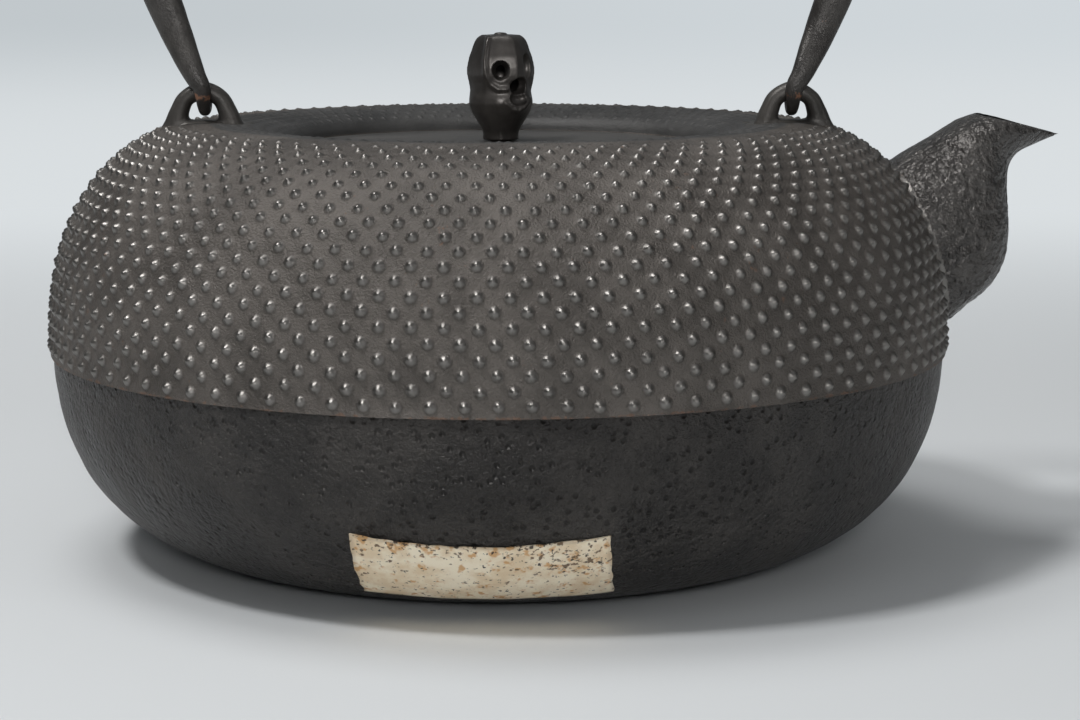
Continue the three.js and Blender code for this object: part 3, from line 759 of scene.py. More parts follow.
@dataclass(frozen=True)
class IronFinish:
    """Cast iron with patina, grain, pits and rust, and on studs a painted shade round their feet.

    Sizes are in millimetres. Colours are linear.
    """

    name: str
    dark: Colour = (0.030, 0.026, 0.024)
    light: Colour = (0.070, 0.060, 0.053)
    rust: Colour = (0.180, 0.075, 0.035)
    rust_level: float = 0.70
    rust_share: float = 0.4
    damp_below: float = 0.0
    damp_fade: float = 3.0
    damp_gain: float = 0.12
    damp_above: float = -9.0
    metallic: float = 0.45
    gloss: float = 0.40
    dull: float = 0.58
    grain_size: float = 0.7
    grain_depth: float = 0.12
    lump_size: float = 2.4
    lump_share: float = 0.5
    pit_size: float = 2.6
    pit_share: float = 0.0
    coat: float = 0.0
    mottle_size: float = 14.0
    studs: bool = False
    tip_range: Pair = (0.05, 0.55)
    tip_gloss: float = 0.31
    tip_tone: Colour = (0.210, 0.200, 0.188)
    tip_metal: float = 0.97
    tip_calm: float = 0.72
    # Painted shade: the dark colour and its share for a ring low on each stud's flank, round its
    # foot.
    foot_shade_tone: Colour = (0.016, 0.014, 0.013)
    foot_shade_share: float = 0.22

    def material(self) -> bpy.types.Material:
        """Builds the finish as a node material."""
        n = Nodes(self.name)
        mottle = n.noise(self.mottle_size, 4.0, 0.6, 1.7)
        grain = n.noise(self.grain_size, 3.0, 0.6, 4.2)
        lumps = n.noise(self.lump_size, 2.0, 0.5, 7.9)
        patches = n.spread(mottle, 0.36, 0.66)
        tone = n.math("ADD", n.math("MULTIPLY", patches, 0.6), n.math("MULTIPLY", grain, 0.4))
        colour = n.tint(tone, self.dark, self.light)
        flecks = n.noise(1.6, 2.0, 0.7, 11.3)
        fields = n.noise(26.0, 2.0, 0.5, 19.0)
        rusting = n.math("ADD", n.math("MULTIPLY", flecks, 0.7), n.math("MULTIPLY", fields, 0.45))
        if self.damp_below:
            low = n.spread(
                n.height(), self.damp_below * MM, (self.damp_below + self.damp_fade) * MM, 1.0, 0.0)
            over = n.spread(
                n.height(), (self.damp_above - self.damp_fade) * MM, self.damp_above * MM)
            low = n.math("MULTIPLY", low, over)
            rusting = n.math("ADD", rusting, n.math("MULTIPLY", low, self.damp_gain))
        rusty = n.spread(rusting, self.rust_level, self.rust_level + 0.09, 0.0, self.rust_share)
        rough = n.spread(mottle, 0.3, 0.7, self.gloss, self.dull)
        if self.studs:
            lift = n.point_value("lift")
            on_tip = n.spread(lift, *self.tip_range)
            # Painted shade: a dark ring is mixed into the colour low on each stud's flank, round
            # its foot.
            foot = n.math(
                "MULTIPLY", n.spread(lift, 0.0, 0.10), n.spread(lift, 0.16, 0.42, 1.0, 0.0))
            colour = n.tint(n.math("MULTIPLY", foot, self.foot_shade_share), colour, self.foot_shade_tone)
            colour = n.tint(on_tip, colour, self.tip_tone)
            n.feed(n.shader.inputs["Metallic"], n.math(
                "ADD", n.math("MULTIPLY", on_tip, self.tip_metal - self.metallic), self.metallic))
            rough = n.math(
                "ADD", n.math("MULTIPLY", rough, n.math("SUBTRACT", 1.0, on_tip)),
                n.math("MULTIPLY", on_tip, self.tip_gloss))
        colour = n.tint(rusty, colour, self.rust)
        n.feed(n.shader.inputs["Base Color"], colour)
        n.feed(n.shader.inputs["Roughness"], n.math("ADD", rough, n.math("MULTIPLY", rusty, 0.25)))
        if not self.studs:
            n.shader.inputs["Metallic"].default_value = self.metallic
        n.shader.inputs["Coat Weight"].default_value = self.coat
        n.shader.inputs["Coat Roughness"].default_value = 0.25
        relief = n.math(
            "ADD",
            n.math("MULTIPLY", grain, 1.0 - self.lump_share),
            n.math("MULTIPLY", lumps, self.lump_share),
        )
        if self.pit_share:
            pits = n.spread(n.cells(self.pit_size), 0.0, 0.34, self.pit_share, 0.0)
            relief = n.math("SUBTRACT", relief, pits)
        if self.studs:
            calm = n.math("SUBTRACT", 1.0, n.math("MULTIPLY", on_tip, self.tip_calm))
            relief = n.math("MULTIPLY", n.math("SUBTRACT", relief, 0.5), calm)
        n.relief(relief, self.grain_depth)
        return n.material


@dataclass(frozen=True)
class PaperFinish:
    """Aged paper with foxing, dirt and rust that has crept in from its edges."""

    name: str = "label_paper"
    paper: Colour = (0.80, 0.64, 0.44)
    bleached: Colour = (0.95, 0.85, 0.67)
    ochre: Colour = (0.60, 0.29, 0.07)
    foxing: Colour = (0.13, 0.075, 0.04)
    specks: Colour = (0.035, 0.03, 0.027)

    def material(self) -> bpy.types.Material:
        """Builds the finish as a node material."""
        n = Nodes(self.name)
        clouds = n.noise(6.0, 4.0, 0.6, 3.0)
        fibres = n.noise(0.5, 2.0, 0.7, 8.0)
        worn = n.point_value("worn")
        colour = n.tint(n.spread(clouds, 0.36, 0.62), self.paper, self.bleached)
        near = n.math("MULTIPLY", worn, 0.10)
        for size, seed, low, soft, share, tone in (
            (1.9, 14.0, 0.575, 0.13, 0.75, self.ochre),
            (1.2, 33.0, 0.61, 0.09, 0.90, self.foxing),
            (0.95, 21.0, 0.65, 0.06, 0.95, self.specks),
        ):
            spots = n.math("ADD", n.noise(size, 2.0, 0.55, seed), near)
            colour = n.tint(n.spread(spots, low, low + soft, 0.0, share), colour, tone)
        edge = n.spread(
            n.math("ADD", n.point_value("edge"), n.math("MULTIPLY", clouds, -0.5)), 0.3, 0.65)
        colour = n.tint(n.math("MULTIPLY", edge, 0.25), colour, self.foxing)
        n.feed(n.shader.inputs["Base Color"], colour)
        n.shader.inputs["Roughness"].default_value = 0.85
        n.relief(n.math("ADD", fibres, clouds), 0.08, 0.7)
        return n.material


@dataclass(frozen=True)
class FloorFinish:
    """Pale matt studio paper; further back, camera rays see a glow with painted light, brightest
    low down and dimmer higher up, most of all to the left.
    """

    name: str = "studio_paper"
    colour: Colour = (0.70, 0.72, 0.73)
    bright: Colour = (0.70, 0.735, 0.755)
    high_left: Colour = (0.535, 0.575, 0.60)
    high_right: Colour = (0.63, 0.675, 0.705)
    near: float = 0.12
    far: float = 0.75
    half_width: float = 0.55
    low: float = 0.03
    high: float = 0.14

    def material(self) -> bpy.types.Material:
        """Builds the finish as a node material."""
        n = Nodes(self.name)
        tone = n.noise(300.0, 1.0, 0.5, 2.0)
        shade_of = tuple(c * 0.97 for c in self.colour)
        n.feed(n.shader.inputs["Base Color"], n.tint(tone, shade_of, self.colour))
        n.shader.inputs["Roughness"].default_value = 0.8
        n.shader.inputs["Specular IOR Level"].default_value = 0.2
        split = n.add("ShaderNodeSeparateXYZ")
        n.feed(split.inputs[0], n.place)
        side = n.spread(split.outputs["X"], -self.half_width, self.half_width)
        up = n.spread(n.math(
            "ADD", split.outputs["Z"], n.math("MULTIPLY", split.outputs["Y"], 0.04)),
            self.low, self.high)
        # Painted light: the glow that camera rays see is brightest low down and dims towards the
        # top and the left.
        glow = n.add("ShaderNodeEmission")
        n.feed(glow.inputs["Color"], n.tint(
            up, self.bright, n.tint(side, self.high_left, self.high_right)))
        path = n.add("ShaderNodeLightPath")
        seen = n.math("MAXIMUM", path.outputs["Is Camera Ray"], path.outputs["Is Transmission Ray"])
        share = n.math("MULTIPLY", seen, n.spread(split.outputs["Y"], self.near, self.far))
        mix = n.add("ShaderNodeMixShader")
        n.feed(mix.inputs[0], share)
        n.tree.links.new(n.shader.outputs[0], mix.inputs[1])
        n.tree.links.new(glow.outputs[0], mix.inputs[2])
        n.tree.links.new(mix.outputs[0], n.output.inputs["Surface"])
        return n.material


STUDDED = IronFinish(
    "studded_iron", dark=(0.066, 0.058, 0.051), light=(0.150, 0.134, 0.120), studs=True,
    rust=(0.22, 0.12, 0.075), rust_level=0.72, rust_share=0.5, damp_below=45.4, damp_fade=0.7,
    damp_gain=0.16, gloss=0.42, dull=0.58, grain_depth=0.55, grain_size=0.5, lump_size=1.4,
    lump_share=0.3, metallic=0.40,
)
ROUGH = IronFinish(
    "belly_iron", dark=(0.026, 0.024, 0.023), light=(0.072, 0.066, 0.061), gloss=0.34, dull=0.50,
    grain_size=0.6, lump_size=1.5, lump_share=0.65, grain_depth=2.6, pit_size=2.2, pit_share=0.6,
    rust_level=0.80, rust_share=0.5,
)
SPOUT_IRON = IronFinish(
    "spout_iron", dark=(0.042, 0.039, 0.037), light=(0.118, 0.110, 0.103), gloss=0.26, dull=0.32,
    grain_size=0.6, lump_size=1.7, lump_share=0.92, grain_depth=1.7, rust_level=0.82,
    mottle_size=9.0, metallic=0.5,
)
EAR_IRON = IronFinish(
    "ear_iron", dark=(0.050, 0.047, 0.043), light=(0.10, 0.092, 0.084), gloss=0.36, dull=0.50,
    grain_size=0.8, lump_share=0.5, grain_depth=0.16, rust_level=0.80,
)
DISH_IRON = IronFinish(
    "dish_iron", dark=(0.046, 0.045, 0.044), light=(0.090, 0.088, 0.085), gloss=0.46, dull=0.60,
    grain_size=0.6, grain_depth=0.25, lump_size=1.6, rust_level=0.78,
)
INNER_IRON = IronFinish(
    "inner_iron", dark=(0.022, 0.016, 0.013), light=(0.06, 0.038, 0.026), metallic=0.1, gloss=0.6,
    dull=0.8, grain_depth=0.2, rust_level=0.55, rust_share=0.8,
)
LID_IRON = IronFinish(
    "lid_iron", dark=(0.060, 0.058, 0.055), light=(0.112, 0.107, 0.101), gloss=0.46, dull=0.60,
    grain_size=0.6, lump_share=0.3, grain_depth=0.08, rust_level=0.78,
)
KNOB_IRON = IronFinish(
    "knob_iron", dark=(0.038, 0.034, 0.031), light=(0.110, 0.100, 0.092), metallic=0.65, gloss=0.28,
    dull=0.40, grain_size=0.8, lump_size=3.0, lump_share=0.7, grain_depth=0.10, rust_level=0.83,
    coat=0.2,
)
WASHER_IRON = IronFinish("washer_iron", gloss=0.5, dull=0.7, grain_depth=0.1)
HANDLE_IRON = IronFinish(
    "handle_iron", dark=(0.038, 0.035, 0.033), light=(0.088, 0.082, 0.076), gloss=0.32, dull=0.46,
    grain_size=0.6, lump_size=1.6, lump_share=0.5, grain_depth=0.24, rust_level=0.77,
    rust=(0.30, 0.15, 0.09), rust_share=0.9, damp_below=100.8, damp_above=100.2, damp_fade=1.4,
    damp_gain=0.22, mottle_size=8.0,
)


class Region(IntEnum):
    """Regions of the casting, in the order of its materials."""

    STUDS = 0
    BELLY = 1
    SPOUT = 2
    EARS = 3
    INSIDE = 4
    DISH = 5


REGION_FINISHES = {
    Region.STUDS: STUDDED, Region.BELLY: ROUGH, Region.SPOUT: SPOUT_IRON,
    Region.EARS: EAR_IRON, Region.INSIDE: INNER_IRON, Region.DISH: DISH_IRON,
}


# The kettle's pieces


NEARBY = 1e-3  # step along the spout for the direction of its edges


@dataclass
class Spout:
    """Short beaked spout: stations run from its root to its open mouth."""

    rear: list[Pair] = field(default_factory=lambda: [
        (86.9, 85.3), (91.0, 88.0), (94.8, 90.2), (98.8, 92.65), (102.7, 94.95), (106.6, 96.45),
    ])
    front: list[Pair] = field(default_factory=lambda: [
        (101.0, 51.0), (104.85, 53.85), (108.25, 56.65), (111.45, 60.7), (113.2, 65.35),
        (113.7, 70.85), (113.2, 78.6), (113.35, 83.75), (115.25, 87.4), (119.6, 89.6),
        (125.1, 91.8),
    ])
    root_half_width: float = 17.5
    mouth_half_width: float = 9.8
    fullness: float = 2.5
    wall: float = 2.4
    rim: float = 1.5
    rear_notch: float = 0.4
    lip_setback: float = 1.8
    lip_spread: float = 2.75
    lip_taper: float = 1.15
    narrowing: float = 1.3
    lip_bevel: float = 0.13
    lip_start: float = 0.90
    root_flare: float = 0.25
    flank_top: float = 92.0
    voxel: float = 0.55
    smoothing: int = 2
    crinkles: tuple[Wave, ...] = (Wave(1.9, 0.17, 51), Wave(0.95, 0.119, 52), Wave(5.5, 0.12, 53))
    stations: int = 56
    sides: int = 64

    def half_width(self, u: np.ndarray, along: float) -> np.ndarray:
        """Half width across the spout at shares of the way from its rear to its front edge.

        Args:
            u: Shares from 0 at the rear to 1 at the front.
            along: Place along the spout, from 0 at the root to 1 at the mouth.

        Returns:
            Half widths.
        """
        rounded = (1 - np.abs(2 * u - 1) ** self.fullness) ** (1 / self.fullness)
        pointed = self.lip_spread * np.sqrt(u) * (1 - u) ** self.lip_taper
        half = blend(self.root_half_width, self.mouth_half_width, along ** self.narrowing)
        lip = 1 - self.lip_bevel * step_at(along, self.lip_start, 1.0)
        return half * lip * blend(rounded, pointed, along ** 3)

    def edges(self, along: float, inset: float, notch: float) -> tuple[np.ndarray, np.ndarray]:
        """Rear and front edge at one station, set in from the outside.

        Args:
            along: Place along the spout.
            inset: Wall thickness.
            notch: Cut behind the rim's peak.

        Returns:
            The two points in the plane of the outline.
        """
        near = np.array([along, min(along + NEARBY, 1), max(along - NEARBY, 0)])
        rear, rear_on, rear_back = uniform_spline(self.rear, near)
        front, front_on, front_back = uniform_spline(self.front, near)
        across = unit(front - rear)
        rear_run = unit(rear_on - rear_back)
        front_run = unit(front_on - front_back)
        rear_in = blend(np.array([rear_run[1], -rear_run[0]]), across, along)
        lip_in = -across * self.lip_setback
        front_in = blend(np.array([-front_run[1], front_run[0]]), lip_in, along ** 3)
        rear_inset = blend(inset, -notch, along ** 8)
        return rear + rear_in * rear_inset, front + front_in * inset

    def loop(self, along: float, inset: float, shift: float, notch: float = 0.0) -> np.ndarray:
        """One loop of the spout's skin.

        Args:
            along: Place along the spout.
            inset: Distance in from the outside.
            shift: Move along the spout.
            notch: Cut behind the rim's peak.

        Returns:
            Points of the loop.
        """
        rear, front = self.edges(along, inset, notch)
        across = front - rear
        onward = unit(np.array([-across[1], across[0]]))
        turn = turns(self.sides)
        u = (1 - np.cos(turn)) / 2
        widest = float(self.half_width(np.array([0.4]), along)[0])
        narrowing = 1 - inset / widest
        half = self.half_width(u, along) * narrowing * np.sign(np.sin(turn))
        spot = rear + across * u[:, None] + onward * shift
        return np.stack([spot[:, 0], half, spot[:, 1]], axis=1)

    def outside(self) -> bpy.types.Object:
        """The outer shape, rooted in the body's wall."""
        loops = [self.loop(0.0, 0.4, -5.0), self.loop(0.0, -0.2, -2.0)]
        for along in np.linspace(0, 1, self.stations + 1):
            flare = -self.root_flare * (1 - step_at(along, 0.0, 0.08))
            loops.append(self.loop(float(along), flare, 0.0))
        obj = lofted("spout_outside", loops)
        soften(obj, self.voxel, self.smoothing)
        self._hammer(obj)
        return obj

    def _hammer(self, obj: bpy.types.Object) -> None:
        """Gives the casting's crinkled skin, deepest on the low flanks, and a crisp mouth."""
        points = mesh_points(obj)
        low = smooth_step(self.flank_top - points[:, 2], 0.0, 14.0)
        beside = smooth_step(np.abs(points[:, 1]), 1.0, 6.0)
        deep = (0.35 + 0.65 * low) * (0.2 + 0.8 * beside)
        push(obj, sum(wave.at(points) for wave in self.crinkles) * deep)

    def channel(self) -> bpy.types.Object:
        """The way that the water takes."""
        loops = [self.loop(0.0, self.wall + 3.0, -8.6)]
        for along in np.linspace(0, 1, self.stations + 1):
            inset = blend(self.wall, self.rim, along)
            loops.append(self.loop(float(along), float(inset), 0.0, self.rear_notch))
        loops.append(self.loop(1.0, self.rim, 3.0, self.rear_notch))
        return lofted("spout_channel", loops)


@dataclass
class Ear:
    """Arched ear of the bail, standing on a low mound on the crest."""

    distance: float = 65.45
    top: float = 103.6
    foot: float = 90.5
    arch: tuple[Pair, ...] = (
        (-7.2, 0.0), (-6.1, 0.30), (-5.2, 0.60), (-3.6, 0.87), (0.0, 1.0),
        (3.6, 0.87), (5.2, 0.60), (6.1, 0.30), (7.2, 0.0),
    )
    crown_width: float = 4.2
    leg_widths: tuple[float, ...] = (4.2, 3.7, 4.2, 5.4, 7.2)
    thickness: float = 5.0
    fullness: float = 2.6
    foot_flare: float = 3.8
    flare_start: float = 0.6
    mound_size: Triple = (8.2, 4.6, 4.2)
    mound_flat: float = 3.5
    mound_height: float = 91.6
    voxel: float = 0.42
    smoothing: int = 5
    stations: int = 56
    sides: int = 28

    def build(self, side: int) -> bpy.types.Object:
        """Makes one ear.

        Args:
            side: -1 for the far side from the spout and 1 for the spout's side.

        Returns:
            The ear as a closed mesh.
        """
        half = self.stations // 2
        rise = self.top - self.crown_width / 2 - self.foot
        path = uniform_spline(
            [(x, share * rise) for x, share in self.arch], np.linspace(0, 1, self.stations + 1))
        run = np.gradient(path, axis=0)
        run /= np.linalg.norm(run, axis=1)[:, None]
        outward = np.stack([-run[:, 1], run[:, 0]], axis=1)
        across, through = boxy_circle(turns(self.sides), self.fullness)
        places = np.linspace(0, 1, len(self.leg_widths))
        loops = []
        for i, (spot, out) in enumerate(zip(path, outward)):
            low = 1 - min(i, self.stations - i) / half
            wide = across * np.interp(low, places, self.leg_widths) / 2
            depth = self.thickness + self.foot_flare * max(0, low - self.flare_start) ** 1.5
            loops.append(np.stack([
                side * self.distance + spot[0] + out[0] * wide,
                through * depth / 2,
                self.foot + spot[1] + out[1] * wide,
            ], axis=1))
        ear = lofted("ear_arch", loops)
        combine(ear, self._mound(side), Operation.JOIN)
        soften(ear, self.voxel, self.smoothing)
        roughen(ear, Wave(3.0, 0.10, 31 + side))
        return ear

    def _mound(self, side: int) -> bpy.types.Object:
        """The low cast mound under the ear."""
        obj = unit_ball("ear_mound", 24, 48)
        points = mesh_points(obj) * np.array(self.mound_size)
        points[:, 2] = np.minimum(points[:, 2], self.mound_flat)
        set_points(obj, points + np.array([side * self.distance, 0, self.mound_height]))
        return obj


@dataclass
class KettleBody:
    """The casting: studded shoulder, plain belly, recessed mouth, water space, spout and ears."""

    ground_radius: float = 98.9
    widest_height: float = 49.5
    crest_radius: float = 64.3
    crest_height: float = 94.6
    base_radius: float = 50.0
    shoulder_fullness: float = 2.11
    belly_fullness: float = 2.38
    wall: float = 3.6
    floor_thickness: float = 4.5
    seam_height: float = 45.0
    seam_ledge: float = 0.6
    recess_radius: float = 46.0
    recess_top: float = 90.1
    ledge_height: float = 86.6
    mouth_radius: float = 41.0
    collar: float = 3.0
    stud_share: float = 0.2055
    stud_rise: float = 0.88
    studs_per_row: int = 96
    first_row: float = 2.2
    row_pitch: float = 2.98
    pattern_turn: float = -0.034
    pattern_twist: float = -0.00044
    rib_stretch: float = 1.75
    crest_fade: float = 0.12
    rib_fade: float = 0.40
    edge_cells: int = 4
    last_gap: float = 1.3
    bulge_gain: float = 1.35
    bulge_from: float = 1.2
    stud_widths: Pair = (0.93, 1.05)
    stud_heights: Pair = (0.90, 1.06)
    stud_slide: float = 0.11
    slide_scale: float = 1.34
    stud_profile: tuple[Pair, ...] = (
        (1.30, 0.0), (1.06, 0.08), (0.82, 0.34), (0.54, 0.67), (0.27, 0.92),
    )
    stud_tip: float = 1.02
    highest_lift: float = 1.12
    fade_steps: tuple[float, ...] = (-3.0, -0.5, 1.5, 4.0, 9.0)
    edge_fade: float = 0.35
    ear_clearing: Pair = (10.5, 7.0)
    skin_depth: float = 2.2
    belly_waves: tuple[Wave, ...] = (Wave(9.0, 0.16, 5), Wave(3.2, 0.10, 6))
    spout: Spout = field(default_factory=Spout)
    ear: Ear = field(default_factory=Ear)

    def belly_line(self, inset: float, steps: int) -> np.ndarray:
        """Radius and height from the base up to the widest ring.

        Args:
            inset: Distance in from the outside.
            steps: Number of segments.

        Returns:
            Rows of radius and height.
        """
        corner = self.base_radius - inset
        arc = quarter_arc(
            self.ground_radius - inset - corner, self.widest_height - inset,
            self.belly_fullness, steps,
        )
        return np.stack([corner + arc[:, 0], self.widest_height - arc[:, 1]], axis=1)[::-1]

    def shoulder_line(self, inset: float, steps: int) -> np.ndarray:
        """Radius and height from the widest ring up to the crest.

        Args:
            inset: Distance in from the outside.
            steps: Number of segments.

        Returns:
            Rows of radius and height.
        """
        arc = quarter_arc(
            self.ground_radius - inset - self.crest_radius,
            self.crest_height - inset - self.widest_height, self.shoulder_fullness, steps,
        )
        return arc + np.array([self.crest_radius, self.widest_height])

    def dish_line(self, steps: int) -> np.ndarray:
        """Radius and height from the crest inward and down to the lid's recess.

        Args:
            steps: Number of segments.

        Returns:
            Rows of radius and height.
        """
        arc = quarter_arc(
            self.crest_height - self.recess_top, self.crest_radius - self.recess_radius, 2, steps
        )
        return np.stack(
            [self.crest_radius - arc[:, 1], self.recess_top + arc[:, 0]], axis=1
        )

    def ground(self) -> Meridian:
        """The studded ground from the seam's ledge to the recess."""
        belly = self.belly_line(0, 400)
        belly = belly[belly[:, 1] > self.seam_height + 0.4]
        foot = belly[0] + np.array([self.seam_ledge, -0.2])
        ease = belly.copy()
        ease[:, 0] += self.seam_ledge * np.exp(-(belly[:, 1] - belly[0, 1]) / 1.2)
        return Meridian(np.concatenate([
            foot[None], ease[1:-1], self.shoulder_line(0, 400), self.dish_line(120)[1:],
        ]))

    def build(self) -> bpy.types.Object:
        """Makes the whole casting and dresses it."""
        casting = self._outside()
        for side in (-1, 1):
            combine(casting, self.ear.build(side), Operation.JOIN)
        combine(casting, self.spout.outside(), Operation.JOIN)
        combine(casting, self._water_space(), Operation.CUT)
        combine(casting, self.spout.channel(), Operation.CUT)
        casting.name = "casting"
        casting.data.name = "casting"
        self._store_lift(casting)
        self._dress(casting)
        shade(casting, 52)
        return hand_over(casting, "kettle", "body_iron", "kettle_body")

    def _outside(self) -> bpy.types.Object:
        """The turned outer shape with its studs, closed over the mouth."""
        skin = Skin()
        columns = self.studs_per_row * self.edge_cells
        turn = turns(columns) + self.pattern_turn
        belly = self.belly_line(0, 46)
        belly = belly[belly[:, 1] < self.seam_height - 0.1]
        seam_radius = np.interp(self.seam_height, *self.belly_line(0, 400).T[::-1])
        belly = np.concatenate([
            belly, [[seam_radius, self.seam_height], [seam_radius + 0.1, self.seam_height + 0.05]],
        ])
        centre = skin.add([0, 0, 0])
        previous = None
        for radius, height in belly:
            start = skin.add(self._uneven(ring(radius, height, turn)))
            if previous is None:
                skin.fan(start, columns, centre, reverse=True)
            else:
                skin.band(previous, start, columns)
            previous = start
        ground = self.ground()
        foot = skin.add(self._wavy_ring(ground, 0.0, turn, 0.0, 0.0))
        skin.band(previous, foot, columns)
        last = self._studded_rows(skin, ground, foot, turn)
        edge = skin.add(ring(self.recess_radius, self.recess_top, turn))
        skin.band(last, edge, columns)
        lid = skin.add([0, 0, self.recess_top])
        skin.fan(edge, columns, lid)
        return skin.build("casting_outside")

    def _uneven(self, points: np.ndarray) -> np.ndarray:
        """Gives the belly the slight waves of a hand-made mould.

        Args:
            points: Rows of x, y and z.

        Returns:
            The moved points.
        """
        share = np.clip((points[:, 2] - 1.0) / 8.0, 0, 1) * np.clip((44.0 - points[:, 2]) / 4, 0, 1)
        wave = sum(wave.at(points) for wave in self.belly_waves)
        away = points * np.array([1, 1, 0]) / self.ground_radius
        return points + away * (wave * share)[:, None]

    def _studded_rows(
        self, skin: Skin, ground: Meridian, foot: int, turn: np.ndarray
    ) -> int:
        """Lays the rows of studs as staggered tiles.

        Args:
            skin: The skin that grows.
            ground: The line that the studs stand on.
            foot: First point of the ring under the lowest tiles.
            turn: Turns of the ring's points.

        Returns:
            First point of the last ring.
        """
        columns = len(turn)
        start = self.first_row - self.row_pitch / 2
        rows = int((ground.total - start - self.last_gap) / self.row_pitch)
        rng = np.random.default_rng(11)
        bulge = self._bulge(ground, self.first_row)
        lower = skin.add(self._wavy_ring(ground, start, turn, -bulge, 0.5))
        skin.band(foot, lower, columns)
        for row in range(rows):
            centre_line = self.first_row + row * self.row_pitch
            offset = (row % 2) * 0.5
            bulge = self._bulge(ground, centre_line) if row < rows - 1 else 0.0
            edge = centre_line + self.row_pitch / 2
            upper = skin.add(self._wavy_ring(ground, edge, turn, bulge, offset + 0.5))
            self._tile_row(skin, ground, centre_line, offset, lower, upper, rng)
            lower = upper
        return lower

    def _stud_size(self, ground: Meridian, distance: float) -> Pair:
        """Half size of the studs around and along the ground at a distance along it.

        Args:
            ground: The line that the studs stand on.
            distance: Distance along it.

        Returns:
            The two half sizes.
        """
        radius, _ = ground.at(np.array(distance))
        size = self.stud_share * FULL_TURN * float(radius) / self.studs_per_row
        ribbed = step_at(self.crest_radius + 1.0 - float(radius), 0.0, 6.0)
        return size, size * blend(1.0, self.rib_stretch, ribbed)

    def _fade(self, radius: float) -> float:
        """Height factor of the studs at a radius: lowest on the crest, some more in the dish.

        Args:
            radius: Radius of the row.

        Returns:
            The factor.
        """
        places = [self.crest_radius + step for step in self.fade_steps]
        heights = (self.rib_fade, self.crest_fade, self.crest_fade, self.edge_fade, 1.0)
        return float(np.interp(radius, places, heights))

    def _bulge(self, ground: Meridian, distance: float) -> float:
        """How far the tiles' borders bend away from the studs."""
        half_long = self._stud_size(ground, distance)[1]
        return max(0.0, self.bulge_gain * half_long - self.bulge_from)

    def _wavy_ring(
        self, ground: Meridian, distance: float, turn: np.ndarray, bulge: float, phase: float
    ) -> np.ndarray:
        """A ring round the ground that swings up and down once for each stud.

        Args:
            ground: The line that the studs stand on.
            distance: Distance of the ring along the ground.
            turn: Turns of the ring's points before the pattern's twist.
            bulge: Height of the swing.
            phase: Share of a stud's pitch where the swing is highest.

        Returns:
            Points of the ring.
        """
        share = (turn - self.pattern_turn) / FULL_TURN * self.studs_per_row - phase
        places = distance + bulge * np.cos(share * FULL_TURN)
        radius, height = ground.at(places)
        around = turn + self.pattern_twist * places
        return ring(radius, height, around)

    def _tile_row(
        self, skin: Skin, ground: Meridian, centre_line: float, offset: float, lower: int,
        upper: int, rng: np.random.Generator,
    ) -> None:
        """Lays one row of tiles, each with a stud.

        Args:
            skin: The skin that grows.
            ground: The line that the studs stand on.
            centre_line: Distance of the row along the ground.
            offset: Share of a tile that the row is turned by.
            lower: First point of the ring below.
            upper: First point of the ring above.
            rng: Source of the small differences between studs.
        """
        count = self.studs_per_row
        cells = self.edge_cells
        pitch = FULL_TURN / count
        tile = np.arange(count)
        middle_turn = (tile + 0.5 + offset) * pitch + self.pattern_turn
        sides = skin.add(self._wavy_ring(ground, centre_line, middle_turn - pitch / 2, 0.0, 0.0))
        first = (tile * cells + round(offset * cells)) % (count * cells)
        border = [lower + (first + k) % (count * cells) for k in range(cells + 1)]
        border.append(sides + (tile + 1) % count)
        border += [upper + (first + k) % (count * cells) for k in range(cells, -1, -1)]
        border.append(sides + tile)
        corners = len(border)
        middle_turn = middle_turn + self.pattern_twist * centre_line
        side_radius, side_height = ground.at(np.array(centre_line))
        half_wide, half_long = self._stud_size(ground, centre_line)
        vary = rng.uniform(*self.stud_widths, count)
        tall = half_wide * self.stud_rise * vary * rng.uniform(*self.stud_heights, count)
        tall = tall * self._fade(float(side_radius))
        slide = rng.normal(0, self.stud_slide, (2, count))
        slide = np.clip(slide, -2 * self.stud_slide, 2 * self.stud_slide)
        slide = slide * half_wide / self.slide_scale
        tall = tall * self._bare_places(float(side_radius), float(side_height), middle_turn)
        out_r, out_z = (float(v) for v in ground.outward(np.array(centre_line)))
        out = ring(out_r, out_z, middle_turn)
        previous = border
        for reach, rise in self.stud_profile:
            numbers = []
            for angle in self._ring_angles(cells):
                a = half_wide * vary * reach * math.cos(angle) + slide[0]
                b = half_long * vary * reach * math.sin(angle) + slide[1]
                radius, height = ground.at(centre_line + b)
                around = middle_turn + a / radius
                points = ring(radius, height, around) + out * (tall * rise)[:, None]
                numbers.append(skin.add(points) + tile)
            for k in range(corners):
                n = (k + 1) % corners
                skin.faces(previous[k], previous[n], numbers[n], numbers[k])
            previous = numbers
        radius, height = ground.at(centre_line + slide[1])
        around = middle_turn + slide[0] / radius
        tips = ring(radius, height, around) + out * (tall * self.stud_tip)[:, None]
        tip = skin.add(tips) + tile
        for k in range(corners):
            skin.faces(previous[k], previous[(k + 1) % corners], tip)

    def _ring_angles(self, cells: int) -> list[float]:
        """Angles of a stud's ring points, one for each point of its tile's border.

        Args:
            cells: Steps along the tile's lower and upper border.

        Returns:
            Angles in radians.
        """
        corner = math.radians(30)
        lower = np.linspace(-math.pi + corner, -corner, cells + 1)
        upper = np.linspace(corner, math.pi - corner, cells + 1)
        return [*lower, 0.0, *upper, math.pi]

    def _bare_places(self, radius: float, height: float, turn: np.ndarray) -> np.ndarray:
        """Height factor of studs: nearly 0 where the ears stand, 1 elsewhere.

        Args:
            radius: Radius of the row.
            height: Height of the row.
            turn: Turn of each stud.

        Returns:
            One factor for each stud.
        """
        bare = self._by_ear(radius * np.cos(turn), radius * np.sin(turn), 0.0) & (height > 85)
        return np.where(bare, 0.02, 1.0)

